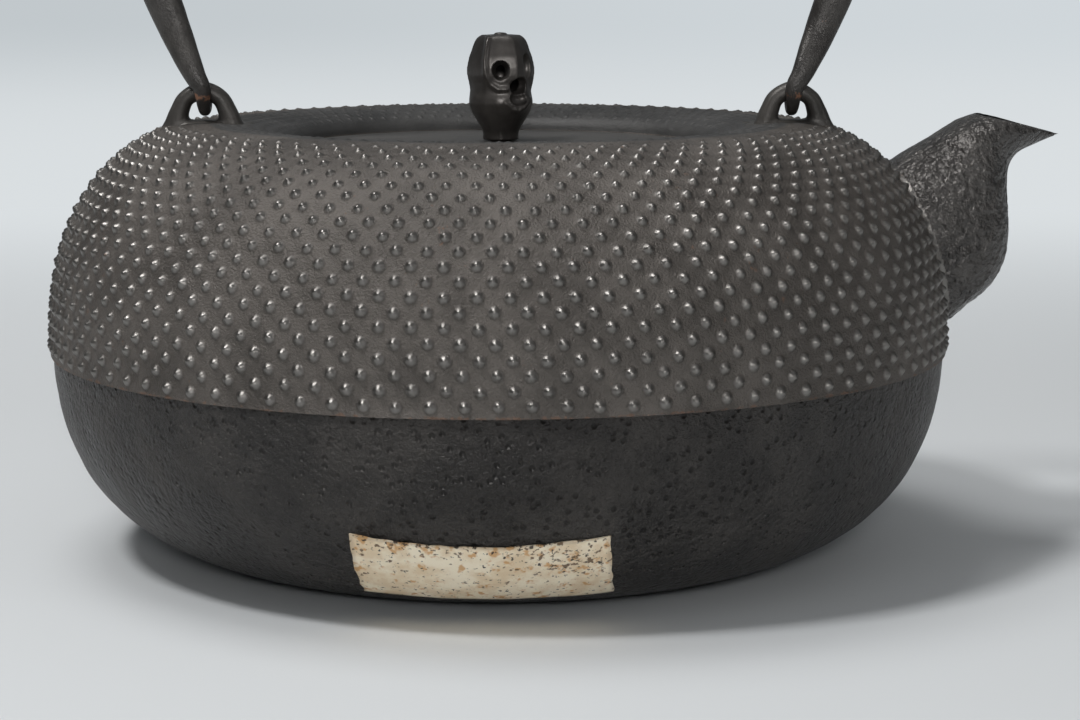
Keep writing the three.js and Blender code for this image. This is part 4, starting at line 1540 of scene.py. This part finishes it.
    def _by_ear(self, x: np.ndarray, y: np.ndarray, margin: float) -> np.ndarray:
        """True for places at the ears' feet, where no studs stand."""
        wide, deep = (size + margin for size in self.ear_clearing)
        return ((np.abs(x) - self.ear.distance) / wide) ** 2 + ((y + 1.0) / deep) ** 2 < 1

    def _water_space(self) -> bpy.types.Object:
        """The room inside the casting with the recessed mouth above it."""
        collar = self.ledge_height - self.collar
        roof = self.crest_height - self.wall
        steps = np.linspace(0, 1, 13)[1:]
        fall = np.stack([
            blend(self.crest_radius, self.recess_radius + 3.0, steps),
            blend(roof, collar, (1 - np.cos(math.pi * steps)) / 2),
        ], axis=1)
        inner = self.belly_line(self.wall, 60)
        low = self.floor_thickness + 2.0
        start = np.interp(low, *inner.T[::-1])
        profile = np.concatenate([
            [[0, self.floor_thickness], [start - 2.0, self.floor_thickness],
             [start - 0.6, self.floor_thickness + 0.6]],
            inner[inner[:, 1] > low],
            self.shoulder_line(self.wall, 40)[1:],
            fall,
            [[self.mouth_radius + 0.4, collar], [self.mouth_radius, collar + 0.4],
             [self.mouth_radius, self.ledge_height - 0.3],
             [self.mouth_radius + 0.3, self.ledge_height],
             [self.recess_radius - 0.4, self.ledge_height],
             [self.recess_radius, self.ledge_height + 0.4],
             [self.recess_radius, self.recess_top - 0.35],
             [self.recess_radius + 0.35, self.recess_top + 0.1],
             [self.recess_radius + 0.5, self.crest_height + 3],
             [0, self.crest_height + 3]],
        ])
        return revolved("water_space", profile, 192)

    def _store_lift(self, obj: bpy.types.Object) -> None:
        """Stores each point's height on a stud: 1 at the tip, 0 at the foot and elsewhere.

        Args:
            obj: The casting.
        """
        points = mesh_points(obj)
        radius = np.hypot(points[:, 0], points[:, 1])
        ground = self.ground()
        places = np.linspace(0, ground.total, 500)
        line_r, line_z = ground.at(places)
        out_r, out_z = ground.outward(places)
        lift = np.zeros(len(points))
        for chunk in np.array_split(np.arange(len(points)), max(1, len(points) // 20000)):
            gap_r = radius[chunk, None] - line_r[None]
            gap_z = points[chunk, 2, None] - line_z[None]
            near = np.argmin(gap_r ** 2 + gap_z ** 2, axis=1)
            rows = np.arange(len(chunk))
            rise = gap_r[rows, near] * out_r[near] + gap_z[rows, near] * out_z[near]
            pitch = FULL_TURN * line_r[near] / self.studs_per_row
            lift[chunk] = rise / (pitch * self.stud_share * self.stud_rise)
        bare = self._by_ear(points[:, 0], points[:, 1], 1.0) | (lift > self.highest_lift)
        store(obj, "lift", np.where(bare, 0.0, np.clip(lift, 0, 1)))

    def _dress(self, obj: bpy.types.Object) -> None:
        """Gives each region of the casting its finish.

        Args:
            obj: The casting.
        """
        for region in Region:
            obj.data.materials.append(REGION_FINISHES[region].material())
        x, y, z = face_centres(obj).T
        radius = np.hypot(x, y)
        outline = np.concatenate([self.belly_line(0, 200), self.shoulder_line(0, 200)[1:]])
        ground = np.interp(z, outline[:, 1], outline[:, 0])
        dish = self.dish_line(60)[::-1]
        roof = np.interp(radius, dish[:, 0], dish[:, 1])
        inner = ground - self.skin_depth
        inside = (radius < inner) & (z < roof - 1.5) & (radius > self.recess_radius + 0.6)
        inside |= (radius < self.mouth_radius + 0.5) & (z > 1.0)
        inside |= (radius < self.recess_radius + 2.5) & (z < self.ledge_height - 0.5) & (z > 1.0)
        beside = np.abs(y)
        off_ear = np.abs(np.abs(x) - self.ear.distance)
        index = np.full(len(z), Region.STUDS.value, np.int32)
        for region, faces in (
            (Region.BELLY, (z < self.seam_height + 0.1) & (radius > inner)),
            (Region.DISH, (radius < self.crest_radius - 0.5) & (z > roof - 1.5)),
            (Region.INSIDE, inside),
            (Region.BELLY, (z < 0.5) & (radius < self.base_radius + 3)),
            (Region.SPOUT, (x > 85) & (beside < 22) & (z > 46) & (radius - ground > 1.35)),
            (Region.SPOUT, (x > 98) & (beside < 15) & (z > 84)),
            (Region.EARS, (off_ear < 11) & (beside < 6) & (z > 94.0)),
        ):
            index[faces] = region.value
        obj.data.polygons.foreach_set("material_index", index)


@dataclass
class Lid:
    """Loose lid with a low crown and a locating skirt."""

    bore: float = 2.5
    radius: float = 45.4
    underside: float = 86.9
    top: float = 90.4
    crown_rise: float = 0.8
    rim: float = 2.7
    skirt_outer: float = 39.5
    skirt_inner: float = 37.5
    skirt_bottom: float = 82.4
    groove_depth: float = 0.22
    groove_inner: Pair = (38.6, 38.9)
    groove_outer: Pair = (41.0, 41.3)

    def build(self) -> bpy.types.Object:
        """Makes the lid and dresses it."""
        reach = np.linspace(self.radius - 0.9, self.bore, 40)
        crown = np.stack([
            reach, self.top - self.crown_rise * (reach / self.radius) ** 2,
        ], axis=1)
        groove = smooth_step(reach, *self.groove_inner) - smooth_step(reach, *self.groove_outer)
        crown[:, 1] -= self.groove_depth * groove
        rim_top = self.underside + self.rim
        profile = np.concatenate([
            [[self.bore, self.underside], [self.skirt_inner - 0.6, self.underside],
             [self.skirt_inner, self.underside - 0.6], [self.skirt_inner, self.skirt_bottom + 0.4],
             [self.skirt_inner + 0.4, self.skirt_bottom],
             [self.skirt_outer - 0.4, self.skirt_bottom],
             [self.skirt_outer, self.skirt_bottom + 0.4], [self.skirt_outer, self.underside],
             [self.radius - 0.5, self.underside], [self.radius, self.underside + 0.5],
             [self.radius, rim_top - 1.0], [self.radius - 0.25, rim_top - 0.35]],
            crown,
        ])
        obj = revolved_ring("lid_plate", profile, 192)
        obj.data.materials.append(LID_IRON.material())
        shade(obj, 40)
        return hand_over(obj, "lid_set", "lid_iron", "lid")


@dataclass
class Knob:
    """Hollow bud-shaped knob with six edges and worm-eaten holes, on a peened tang."""

    foot: float = 90.7
    height: float = 23.1
    offset: float = 0.45
    outline: list[Pair] = field(default_factory=lambda: [
        (0.0, 4.0), (0.03, 3.95), (0.08, 4.05), (0.16, 5.0), (0.26, 6.45), (0.35, 7.15),
        (0.42, 6.95), (0.47, 6.75), (0.53, 7.05), (0.62, 7.5), (0.70, 7.5), (0.80, 7.0),
        (0.90, 6.1), (0.95, 5.6), (0.98, 5.1), (1.0, 4.2),
    ])
    facet: float = 0.8
    holes: list[tuple[float, float, float, float, float]] = field(default_factory=lambda: [
        (-90.0, 15.5, 1.9, 2.2, 3.0), (-50.0, 11.9, 2.5, 2.1, 3.4), (-52.0, 9.4, 2.4, 1.7, 1.9),
        (-27.0, 16.6, 1.5, 3.0, 2.0), (75.0, 8.8, 2.3, 2.4, 3.2), (150.0, 15.6, 1.7, 3.0, 3.0),
    ])
    beads: list[list[Pair]] = field(default_factory=lambda: [
        [(-2.8, 22.6), (-3.4, 17.5), (-3.3, 15.0), (-2.3, 12.6), (-0.6, 11.3), (1.3, 11.4)],
        [(1.2, 8.2), (2.3, 6.9), (3.8, 6.5), (5.2, 7.3), (6.4, 9.0)],
    ])
    bead_width: float = 0.50
    bead_height: float = 0.55
    hole_distance: float = 6.9
    hollow_radii: Triple = (4.6, 4.6, 6.6)
    hollow_level: float = 14.0
    rows: int = 96
    sides: int = 144
    tang_radius: float = 2.2
    peen_top: float = 85.1

    def build(self) -> bpy.types.Object:
        """Makes the knob and dresses it."""
        bud = self._bud()
        combine(bud, self._button(), Operation.JOIN)
        room = self._ellipsoid((0, 0, self.foot + self.hollow_level), self.hollow_radii, 0)
        combine(bud, room, Operation.CUT)
        for turn, level, wide, high, deep in self.holes:
            spot = (self.hole_distance, 0, self.foot + level)
            combine(bud, self._ellipsoid(spot, (deep, wide, high), turn), Operation.CUT)
        soften(bud, 0.22, 3)
        roughen(bud, Wave(2.2, 0.06, 17))
        set_points(bud, mesh_points(bud) + np.array([self.offset, 0, 0]))
        combine(bud, self._tang(), Operation.JOIN)
        bud.name = "bud_knob"
        bud.data.materials.append(KNOB_IRON.material())
        shade(bud, 60)
        return hand_over(bud, "lid_set", "knob_iron", "lid_knob")

    def _bud(self) -> bpy.types.Object:
        """The closed bud."""
        share = np.linspace(0, 1, self.rows + 1)
        knots = np.array(self.outline)
        radius = np.interp(share, knots[:, 0], knots[:, 1])
        for _ in range(3):
            radius[1:-1] = (radius[:-2] + 2 * radius[1:-1] + radius[2:]) / 4
        turn = turns(self.sides)
        half = FULL_TURN / 12
        off_edge = np.abs(np.mod(turn + half, 2 * half) - half)
        flat = math.cos(half) / np.cos(off_edge - half)
        loops = []
        for s, r in zip(share, radius):
            cut = max(self.facet * step_at(s, 0.30, 0.58), 0.25 * step_at(s, 0.02, 0.2))
            r_turn = r * blend(1.0, flat, cut)
            r_turn = r_turn + self._rolled_rims(r_turn, turn, s * self.height)
            loops.append(ring(r_turn, self.foot + s * self.height, turn))
        return lofted("bud", loops)

    def _rolled_rims(self, radius: np.ndarray, turn: np.ndarray, level: float) -> np.ndarray:
        """Raised beads on the front, beside and under the holes.

        Args:
            radius: Radius at each turn.
            turn: Turns about the axis.
            level: Height over the foot.

        Returns:
            Extra radius at each turn.
        """
        spot = np.stack([radius * np.cos(turn), np.full(len(turn), level)], axis=1)
        gap = np.full(len(turn), 99.0)
        for bead in self.beads:
            line = np.array(bead)
            for a, b in zip(line[:-1], line[1:]):
                run = b - a
                share = np.clip((spot - a) @ run / float(run @ run), 0, 1)
                gap = np.minimum(gap, np.linalg.norm(spot - a - share[:, None] * run, axis=1))
        front = smooth_step(-np.sin(turn), 0.1, 0.35)
        return self.bead_height * np.exp(-(gap / self.bead_width) ** 2) * front

    def _ellipsoid(
        self, centre: Triple, radii: Triple, turn: float
    ) -> bpy.types.Object:
        """An ellipsoid turned about the knob's axis.

        Args:
            centre: Centre before the turn.
            radii: Half sizes before the turn.
            turn: Turn in degrees.

        Returns:
            The closed mesh.
        """
        obj = unit_ball("knob_hole", 20, 36)
        points = mesh_points(obj) * np.array(radii) + np.array(centre)
        c, s = math.cos(math.radians(turn)), math.sin(math.radians(turn))
        spun = np.stack([
            points[:, 0] * c - points[:, 1] * s, points[:, 0] * s + points[:, 1] * c, points[:, 2],
        ], axis=1)
        set_points(obj, spun)
        return obj

    def _button(self) -> bpy.types.Object:
        """The small button on top."""
        top = self.foot + self.height
        return revolved("knob_button", np.array([
            [0, top - 2], [1.5, top - 2], [1.55, top + 0.1], [1.1, top + 0.45], [0, top + 0.55],
        ]), 36)

    def _tang(self) -> bpy.types.Object:
        """The tang through the lid with its peened end."""
        r = self.tang_radius
        return revolved("knob_tang", np.array([
            [0, self.peen_top - 1.2], [2.0, self.peen_top - 1.15], [3.1, self.peen_top - 0.8],
            [3.6, self.peen_top - 0.2], [3.5, self.peen_top], [r, self.peen_top],
            [r, self.foot + 2], [0, self.foot + 2],
        ]), 36)


@dataclass
class Washer:
    """The washer that the tang is peened over."""

    bore: float = 2.5
    radius: float = 6.0
    bottom: float = 85.4
    top: float = 86.6

    def build(self) -> bpy.types.Object:
        """Makes the washer and dresses it."""
        profile = np.array([
            [self.bore, self.bottom + 0.15], [self.bore + 0.15, self.bottom],
            [self.radius - 0.5, self.bottom], [self.radius - 0.12, self.bottom + 0.2],
            [self.radius, self.bottom + 0.5], [self.radius, self.top - 0.15],
            [self.radius - 0.15, self.top], [self.bore + 0.1, self.top],
            [self.bore, self.top - 0.1],
        ])
        obj = revolved_ring("tang_washer", profile, 96)
        obj.data.materials.append(WASHER_IRON.material())
        shade(obj, 40)
        return hand_over(obj, "lid_set", "washer_iron", "knob_washer")


@dataclass
class Bail:
    """Swinging bail: hooks at both ends, tapering legs and a full grip."""

    hook_offset: float = 65.1
    bar_height: float = 101.6
    bend_radius: float = 4.45
    hook_start: float = 258.0
    hook_end: float = 95.0
    hook_thickness: float = 2.45
    rise: float = 104.0
    lean: float = 27.15
    leg_reach: float = 80.0
    top_reach: float = 70.0
    centring: float = 16.0
    upright: float = 2.8
    foot_width: float = 3.6
    mid_width: float = 10.6
    mid_depth: float = 8.0
    taper: float = 24.0
    step: float = 0.25
    blur: int = 10
    sides: int = 32

    def build(self) -> bpy.types.Object:
        """Makes the bail and dresses it."""
        half = self._half_line()
        left = half * np.array([-1, 1, 1])
        line = np.concatenate([left, half[-2::-1]])
        lengths = distances(line)
        total = lengths[-1]
        hook = self.bend_radius * math.radians(self.hook_start - self.hook_end)
        near = np.linspace(0, hook + 10, 60)
        middle = np.linspace(hook + 10, total - hook - 10, 170)[1:-1]
        places = np.concatenate([near, middle, (total - near)[::-1]])
        spots = resampled(line, lengths, places)
        runs = np.gradient(spots, places, axis=0)
        runs /= np.linalg.norm(runs, axis=1)[:, None]
        turn = turns(self.sides)
        normal = np.array([1.0, 0.0, 0.0])
        loops = []
        for place, spot, run in zip(places, spots, runs):
            normal = unit(normal - run * float(normal @ run))
            across = np.cross(run, normal)
            wide, deep, power = self._section(min(place, total - place), hook)
            c, s = boxy_circle(turn, power)
            loops.append(spot + normal * (wide * c)[:, None] + across * (deep * s)[:, None])
        obj = lofted("bail", loops)
        roughen(obj, Wave(2.6, 0.07, 23))
        obj.data.materials.append(HANDLE_IRON.material())
        shade(obj, 60)
        return hand_over(obj, "bail", "handle_iron", "handle")

    def _half_line(self) -> np.ndarray:
        """Centre line of the half on the spout's side, from the hook's tip to the top."""
        turn = np.radians(np.linspace(self.hook_start, self.hook_end, 60))
        hook = np.stack([
            np.full(60, self.hook_offset),
            -self.bend_radius * np.sin(turn),
            self.bar_height + self.bend_radius * np.cos(turn),
        ], axis=1)
        lean = math.radians(self.lean)
        top = self.bar_height + self.rise
        a = np.array([self.hook_offset, self.bar_height])
        b = a + self.leg_reach * np.array([math.sin(lean), math.cos(lean)])
        c = np.array([self.top_reach, top])
        d = np.array([0.0, top])
        t = (np.linspace(0, 1, 240)[1:, None]) ** 1.2
        leg = (1 - t) ** 3 * a + 3 * (1 - t) ** 2 * t * b + 3 * (1 - t) * t ** 2 * c + t ** 3 * d
        leaning = smooth_step(leg[:, 1], self.bar_height, self.bar_height + self.upright)
        leg[:, 0] = self.hook_offset + (leg[:, 0] - self.hook_offset) * leaning
        centred = smooth_step(leg[:, 1], self.bar_height, self.bar_height + self.centring)
        leg3 = np.stack([leg[:, 0], -self.bend_radius * (1 - centred), leg[:, 1]], axis=1)
        line = np.concatenate([hook, leg3])
        lengths = distances(line)
        even = np.append(np.arange(0, lengths[-1], self.step), lengths[-1])
        fine = resampled(line, lengths, even)
        kernel = np.hanning(2 * self.blur + 3)[1:-1]
        kernel /= kernel.sum()
        before = np.full(self.blur, fine[0, 0])
        beyond = -fine[-2:-self.blur - 2:-1, 0]
        padded = np.concatenate([before, fine[:, 0], beyond])
        fine[:, 0] = np.convolve(padded, kernel, "valid")
        fine[-1, 0] = 0.0
        return fine

    def _section(self, distance: float, hook: float) -> Triple:
        """Half width, half depth and squareness at a distance from the nearer end.

        Args:
            distance: Distance along the centre line.
            hook: Length of the hook.

        Returns:
            The three numbers.
        """
        tip = min(1.0, 0.65 + 0.35 * math.sqrt(min(1.0, distance / 2.0)))
        foot = blend(self.hook_thickness, self.foot_width, min(1.0, (distance / hook) ** 4))
        swell = 1 - math.exp(-max(0.0, distance - hook) / self.taper)
        wide = blend(foot, self.mid_width, swell) * tip / 2
        deep = blend(self.hook_thickness, self.mid_depth, swell) * tip / 2
        return wide, deep, 2.1 + 0.5 * min(1.0, swell * 3)


@dataclass
class Label:
    """Aged paper strip on the lower front, straight before it was pasted round the belly."""

    width: float = 51.0
    length: float = 20.4
    thickness: float = 0.28
    lift: float = 0.30
    top_height: float = 19.2
    turn: float = -2.5
    left_slant: float = 1.6
    right_slant: float = 1.0
    sag: float = 0.82
    ragged: Wave = Wave(2.0, 0.22, 41)
    curl: Wave = Wave(5.0, 0.05, 43)
    columns: int = 90
    rows: int = 40

    def build(self, body: KettleBody) -> bpy.types.Object:
        """Makes the strip and dresses it.

        Args:
            body: The casting that it is laid on.

        Returns:
            The strip.
        """
        line = Meridian(body.belly_line(0, 600))
        start = float(np.interp(self.top_height, line.points[:, 1], line.lengths))
        shares = (np.linspace(0, 1, count + 1) for count in (self.columns, self.rows))
        u, v = (grid.ravel() for grid in np.meshgrid(*shares))
        flat = np.stack([u * 40, v * 20, np.zeros(u.size)], axis=1)
        ragged = self.ragged.at(flat)
        across = (u - 0.5) * self.width
        down = v * self.length
        side = np.abs(u * 2 - 1) ** 30
        across = across + ragged * side
        down = down + ragged * np.abs(v * 2 - 1) ** 20
        across = across + blend(self.left_slant * v ** 1.8, self.right_slant * v, u)
        middle = float(line.at(np.array(start - self.length / 2))[0])
        lean = float(line.outward(np.array(start - self.length / 2))[1])
        down = down + self.sag * lean / middle * across ** 2 / 2
        edge = np.maximum(np.abs(u * 2 - 1) ** 12, np.abs(v * 2 - 1) ** 6)
        curl = self.curl.at(flat)
        layers = []
        for lift in (self.lift, self.lift + self.thickness):
            distance = start - down
            radius, height = line.at(distance)
            out_r, out_z = line.outward(distance)
            turn = math.radians(self.turn) + across / radius
            radius = radius + out_r * (lift + curl)
            height = height + out_z * (lift + curl)
            x, y = radius * np.sin(turn), -radius * np.cos(turn)
            layers.append(np.stack([x, y, height], axis=1))
        skin = Skin()
        wide = self.columns + 1
        inner = skin.add(layers[0])
        outer = skin.add(layers[1])
        i, j = np.meshgrid(np.arange(self.rows), np.arange(self.columns), indexing="ij")
        a = (i * wide + j).ravel()
        skin.faces(inner + a, inner + a + 1, inner + a + wide + 1, inner + a + wide)
        skin.faces(outer + a, outer + a + wide, outer + a + wide + 1, outer + a + 1)
        border = np.concatenate([
            np.arange(self.columns),
            np.arange(self.rows) * wide + self.columns,
            self.rows * wide + np.arange(self.columns, 0, -1),
            np.arange(self.rows, 0, -1) * wide,
        ])
        after = np.roll(border, -1)
        skin.faces(inner + border, outer + border, outer + after, inner + after)
        obj = orient(skin.build("paper_strip"))
        store(obj, "edge", np.concatenate([edge, edge]))
        worn = np.exp(-((u - 0.86) / 0.13) ** 2 - ((v - 0.32) / 0.16) ** 2)
        worn = np.maximum(worn, 0.75 * np.exp(-v / 0.14))
        store(obj, "worn", np.concatenate([worn, worn]))
        obj.data.materials.append(PaperFinish().material())
        shade(obj, 50)
        return hand_over(obj, "kettle", "label_paper", "paper_label")


@dataclass
class SoftBox:
    """One studio lamp: its place, size and strength."""

    name: str
    place: Triple
    size: float
    watts: float

    def build(self, target: Vector) -> None:
        """Hangs the lamp and aims it at the target.

        Args:
            target: Place that it shines at.
        """
        data = bpy.data.lights.new(self.name, "AREA")
        data.shape = "SQUARE"
        data.size = self.size
        data.energy = self.watts
        lamp = link(bpy.data.objects.new(self.name, data))
        lamp.location = self.place
        lamp.rotation_euler = (target - Vector(self.place)).to_track_quat("-Z", "Y").to_euler()


@dataclass
class Studio:
    """Camera, lamps, world and the pale sweep that the kettle stands on."""

    camera_place: Triple = (0.0, -0.5961, 0.1350)
    camera_pitch: float = 0.156473
    camera_yaw: float = 0.015364
    lens: float = 89.21
    world: Colour = (0.84, 0.86, 0.88)
    world_low: float = 0.06
    world_high: float = 0.32
    world_seen: float = 0.80
    world_top: float = 0.9
    aim: Triple = (0.0, 0.0, 0.06)
    floor_depth: float = 1.6
    floor_bend: float = 1.2
    floor_reach: float = 4.0
    boxes: list[SoftBox] = field(default_factory=lambda: [
        SoftBox("overhead", (-0.32, 0.14, 1.30), 0.55, 5.2),
        SoftBox("key", (-0.56, -0.42, 1.22), 0.20, 8.0),
        SoftBox("side", (1.05, -0.80, 0.62), 0.28, 0.9),
        SoftBox("front", (0.02, -1.15, 0.38), 0.16, 2.7),
    ])

    def build(self) -> None:
        """Sets up everything around the kettle."""
        self._camera()
        target = Vector(self.aim)
        for box in self.boxes:
            box.build(target)
        self._world()
        self._sweep()

    def _camera(self) -> None:
        """The camera at the photograph's place."""
        data = bpy.data.cameras.new("camera")
        data.lens = self.lens
        data.sensor_width = 36.0
        data.sensor_fit = "HORIZONTAL"
        data.clip_start = 0.01
        data.clip_end = 30.0
        camera = link(bpy.data.objects.new("camera", data))
        camera.location = self.camera_place
        camera.rotation_euler = (QUARTER_TURN - self.camera_pitch, 0.0, -self.camera_yaw)
        bpy.context.scene.camera = camera

    def _world(self) -> None:
        """Pale light from all round, stronger from above."""
        world = bpy.data.worlds.new("studio")
        world.use_nodes = True
        tree = world.node_tree
        sky = tree.nodes["Background"]
        sky.inputs["Color"].default_value = (*self.world, 1.0)
        split = tree.nodes.new("ShaderNodeSeparateXYZ")
        tree.links.new(tree.nodes.new("ShaderNodeTexCoord").outputs["Generated"], split.inputs[0])
        rise = tree.nodes.new("ShaderNodeMapRange")
        rise.interpolation_type = "SMOOTHSTEP"
        tree.links.new(split.outputs["Z"], rise.inputs["Value"])
        set_range(rise, 0.0, self.world_top, self.world_low, self.world_high)
        seen = tree.nodes.new("ShaderNodeMix")
        seen.inputs["B"].default_value = self.world_seen
        path = tree.nodes.new("ShaderNodeLightPath")
        tree.links.new(path.outputs["Is Camera Ray"], seen.inputs["Factor"])
        tree.links.new(rise.outputs["Result"], seen.inputs["A"])
        tree.links.new(seen.outputs["Result"], sky.inputs["Strength"])
        bpy.context.scene.world = world
        bpy.context.scene.view_settings.view_transform = "Standard"

    def _sweep(self) -> None:
        """A wide floor that curves up behind into a backdrop."""
        run = np.linspace(0, QUARTER_TURN, 25)
        depth, bend, reach = self.floor_depth, self.floor_bend, self.floor_reach
        line = np.concatenate([
            [[-reach, 0.0], [depth, 0.0]],
            np.stack([depth + bend * np.sin(run), bend - bend * np.cos(run)], axis=1)[1:],
            [[depth + bend, reach]],
        ])
        skin = Skin()
        ends = []
        for x in (-reach, reach):
            rows = np.stack([np.full(len(line), x), line[:, 0], line[:, 1]], axis=1) / MM
            ends.append(skin.add(rows))
        k = np.arange(len(line) - 1)
        skin.faces(ends[0] + k, ends[1] + k, ends[1] + k + 1, ends[0] + k + 1)
        obj = skin.build("studio_sweep")
        obj.data.materials.append(FloorFinish().material())
        shade(obj, 60)


def corners(box: Sequence[Sequence[float]]) -> list[list[float]]:
    """A box as plain lists of numbers."""
    return [[float(v) for v in corner] for corner in box]


def main() -> None:
    """Builds the studio and every piece in order."""
    logging.basicConfig(level=logging.INFO, format="%(message)s")
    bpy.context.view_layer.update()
    Studio().build()
    body = KettleBody()
    body.build()
    Label().build(body)
    Lid().build()
    Knob().build()
    Washer().build()
    Bail().build()


if __name__ == "__main__":
    main()
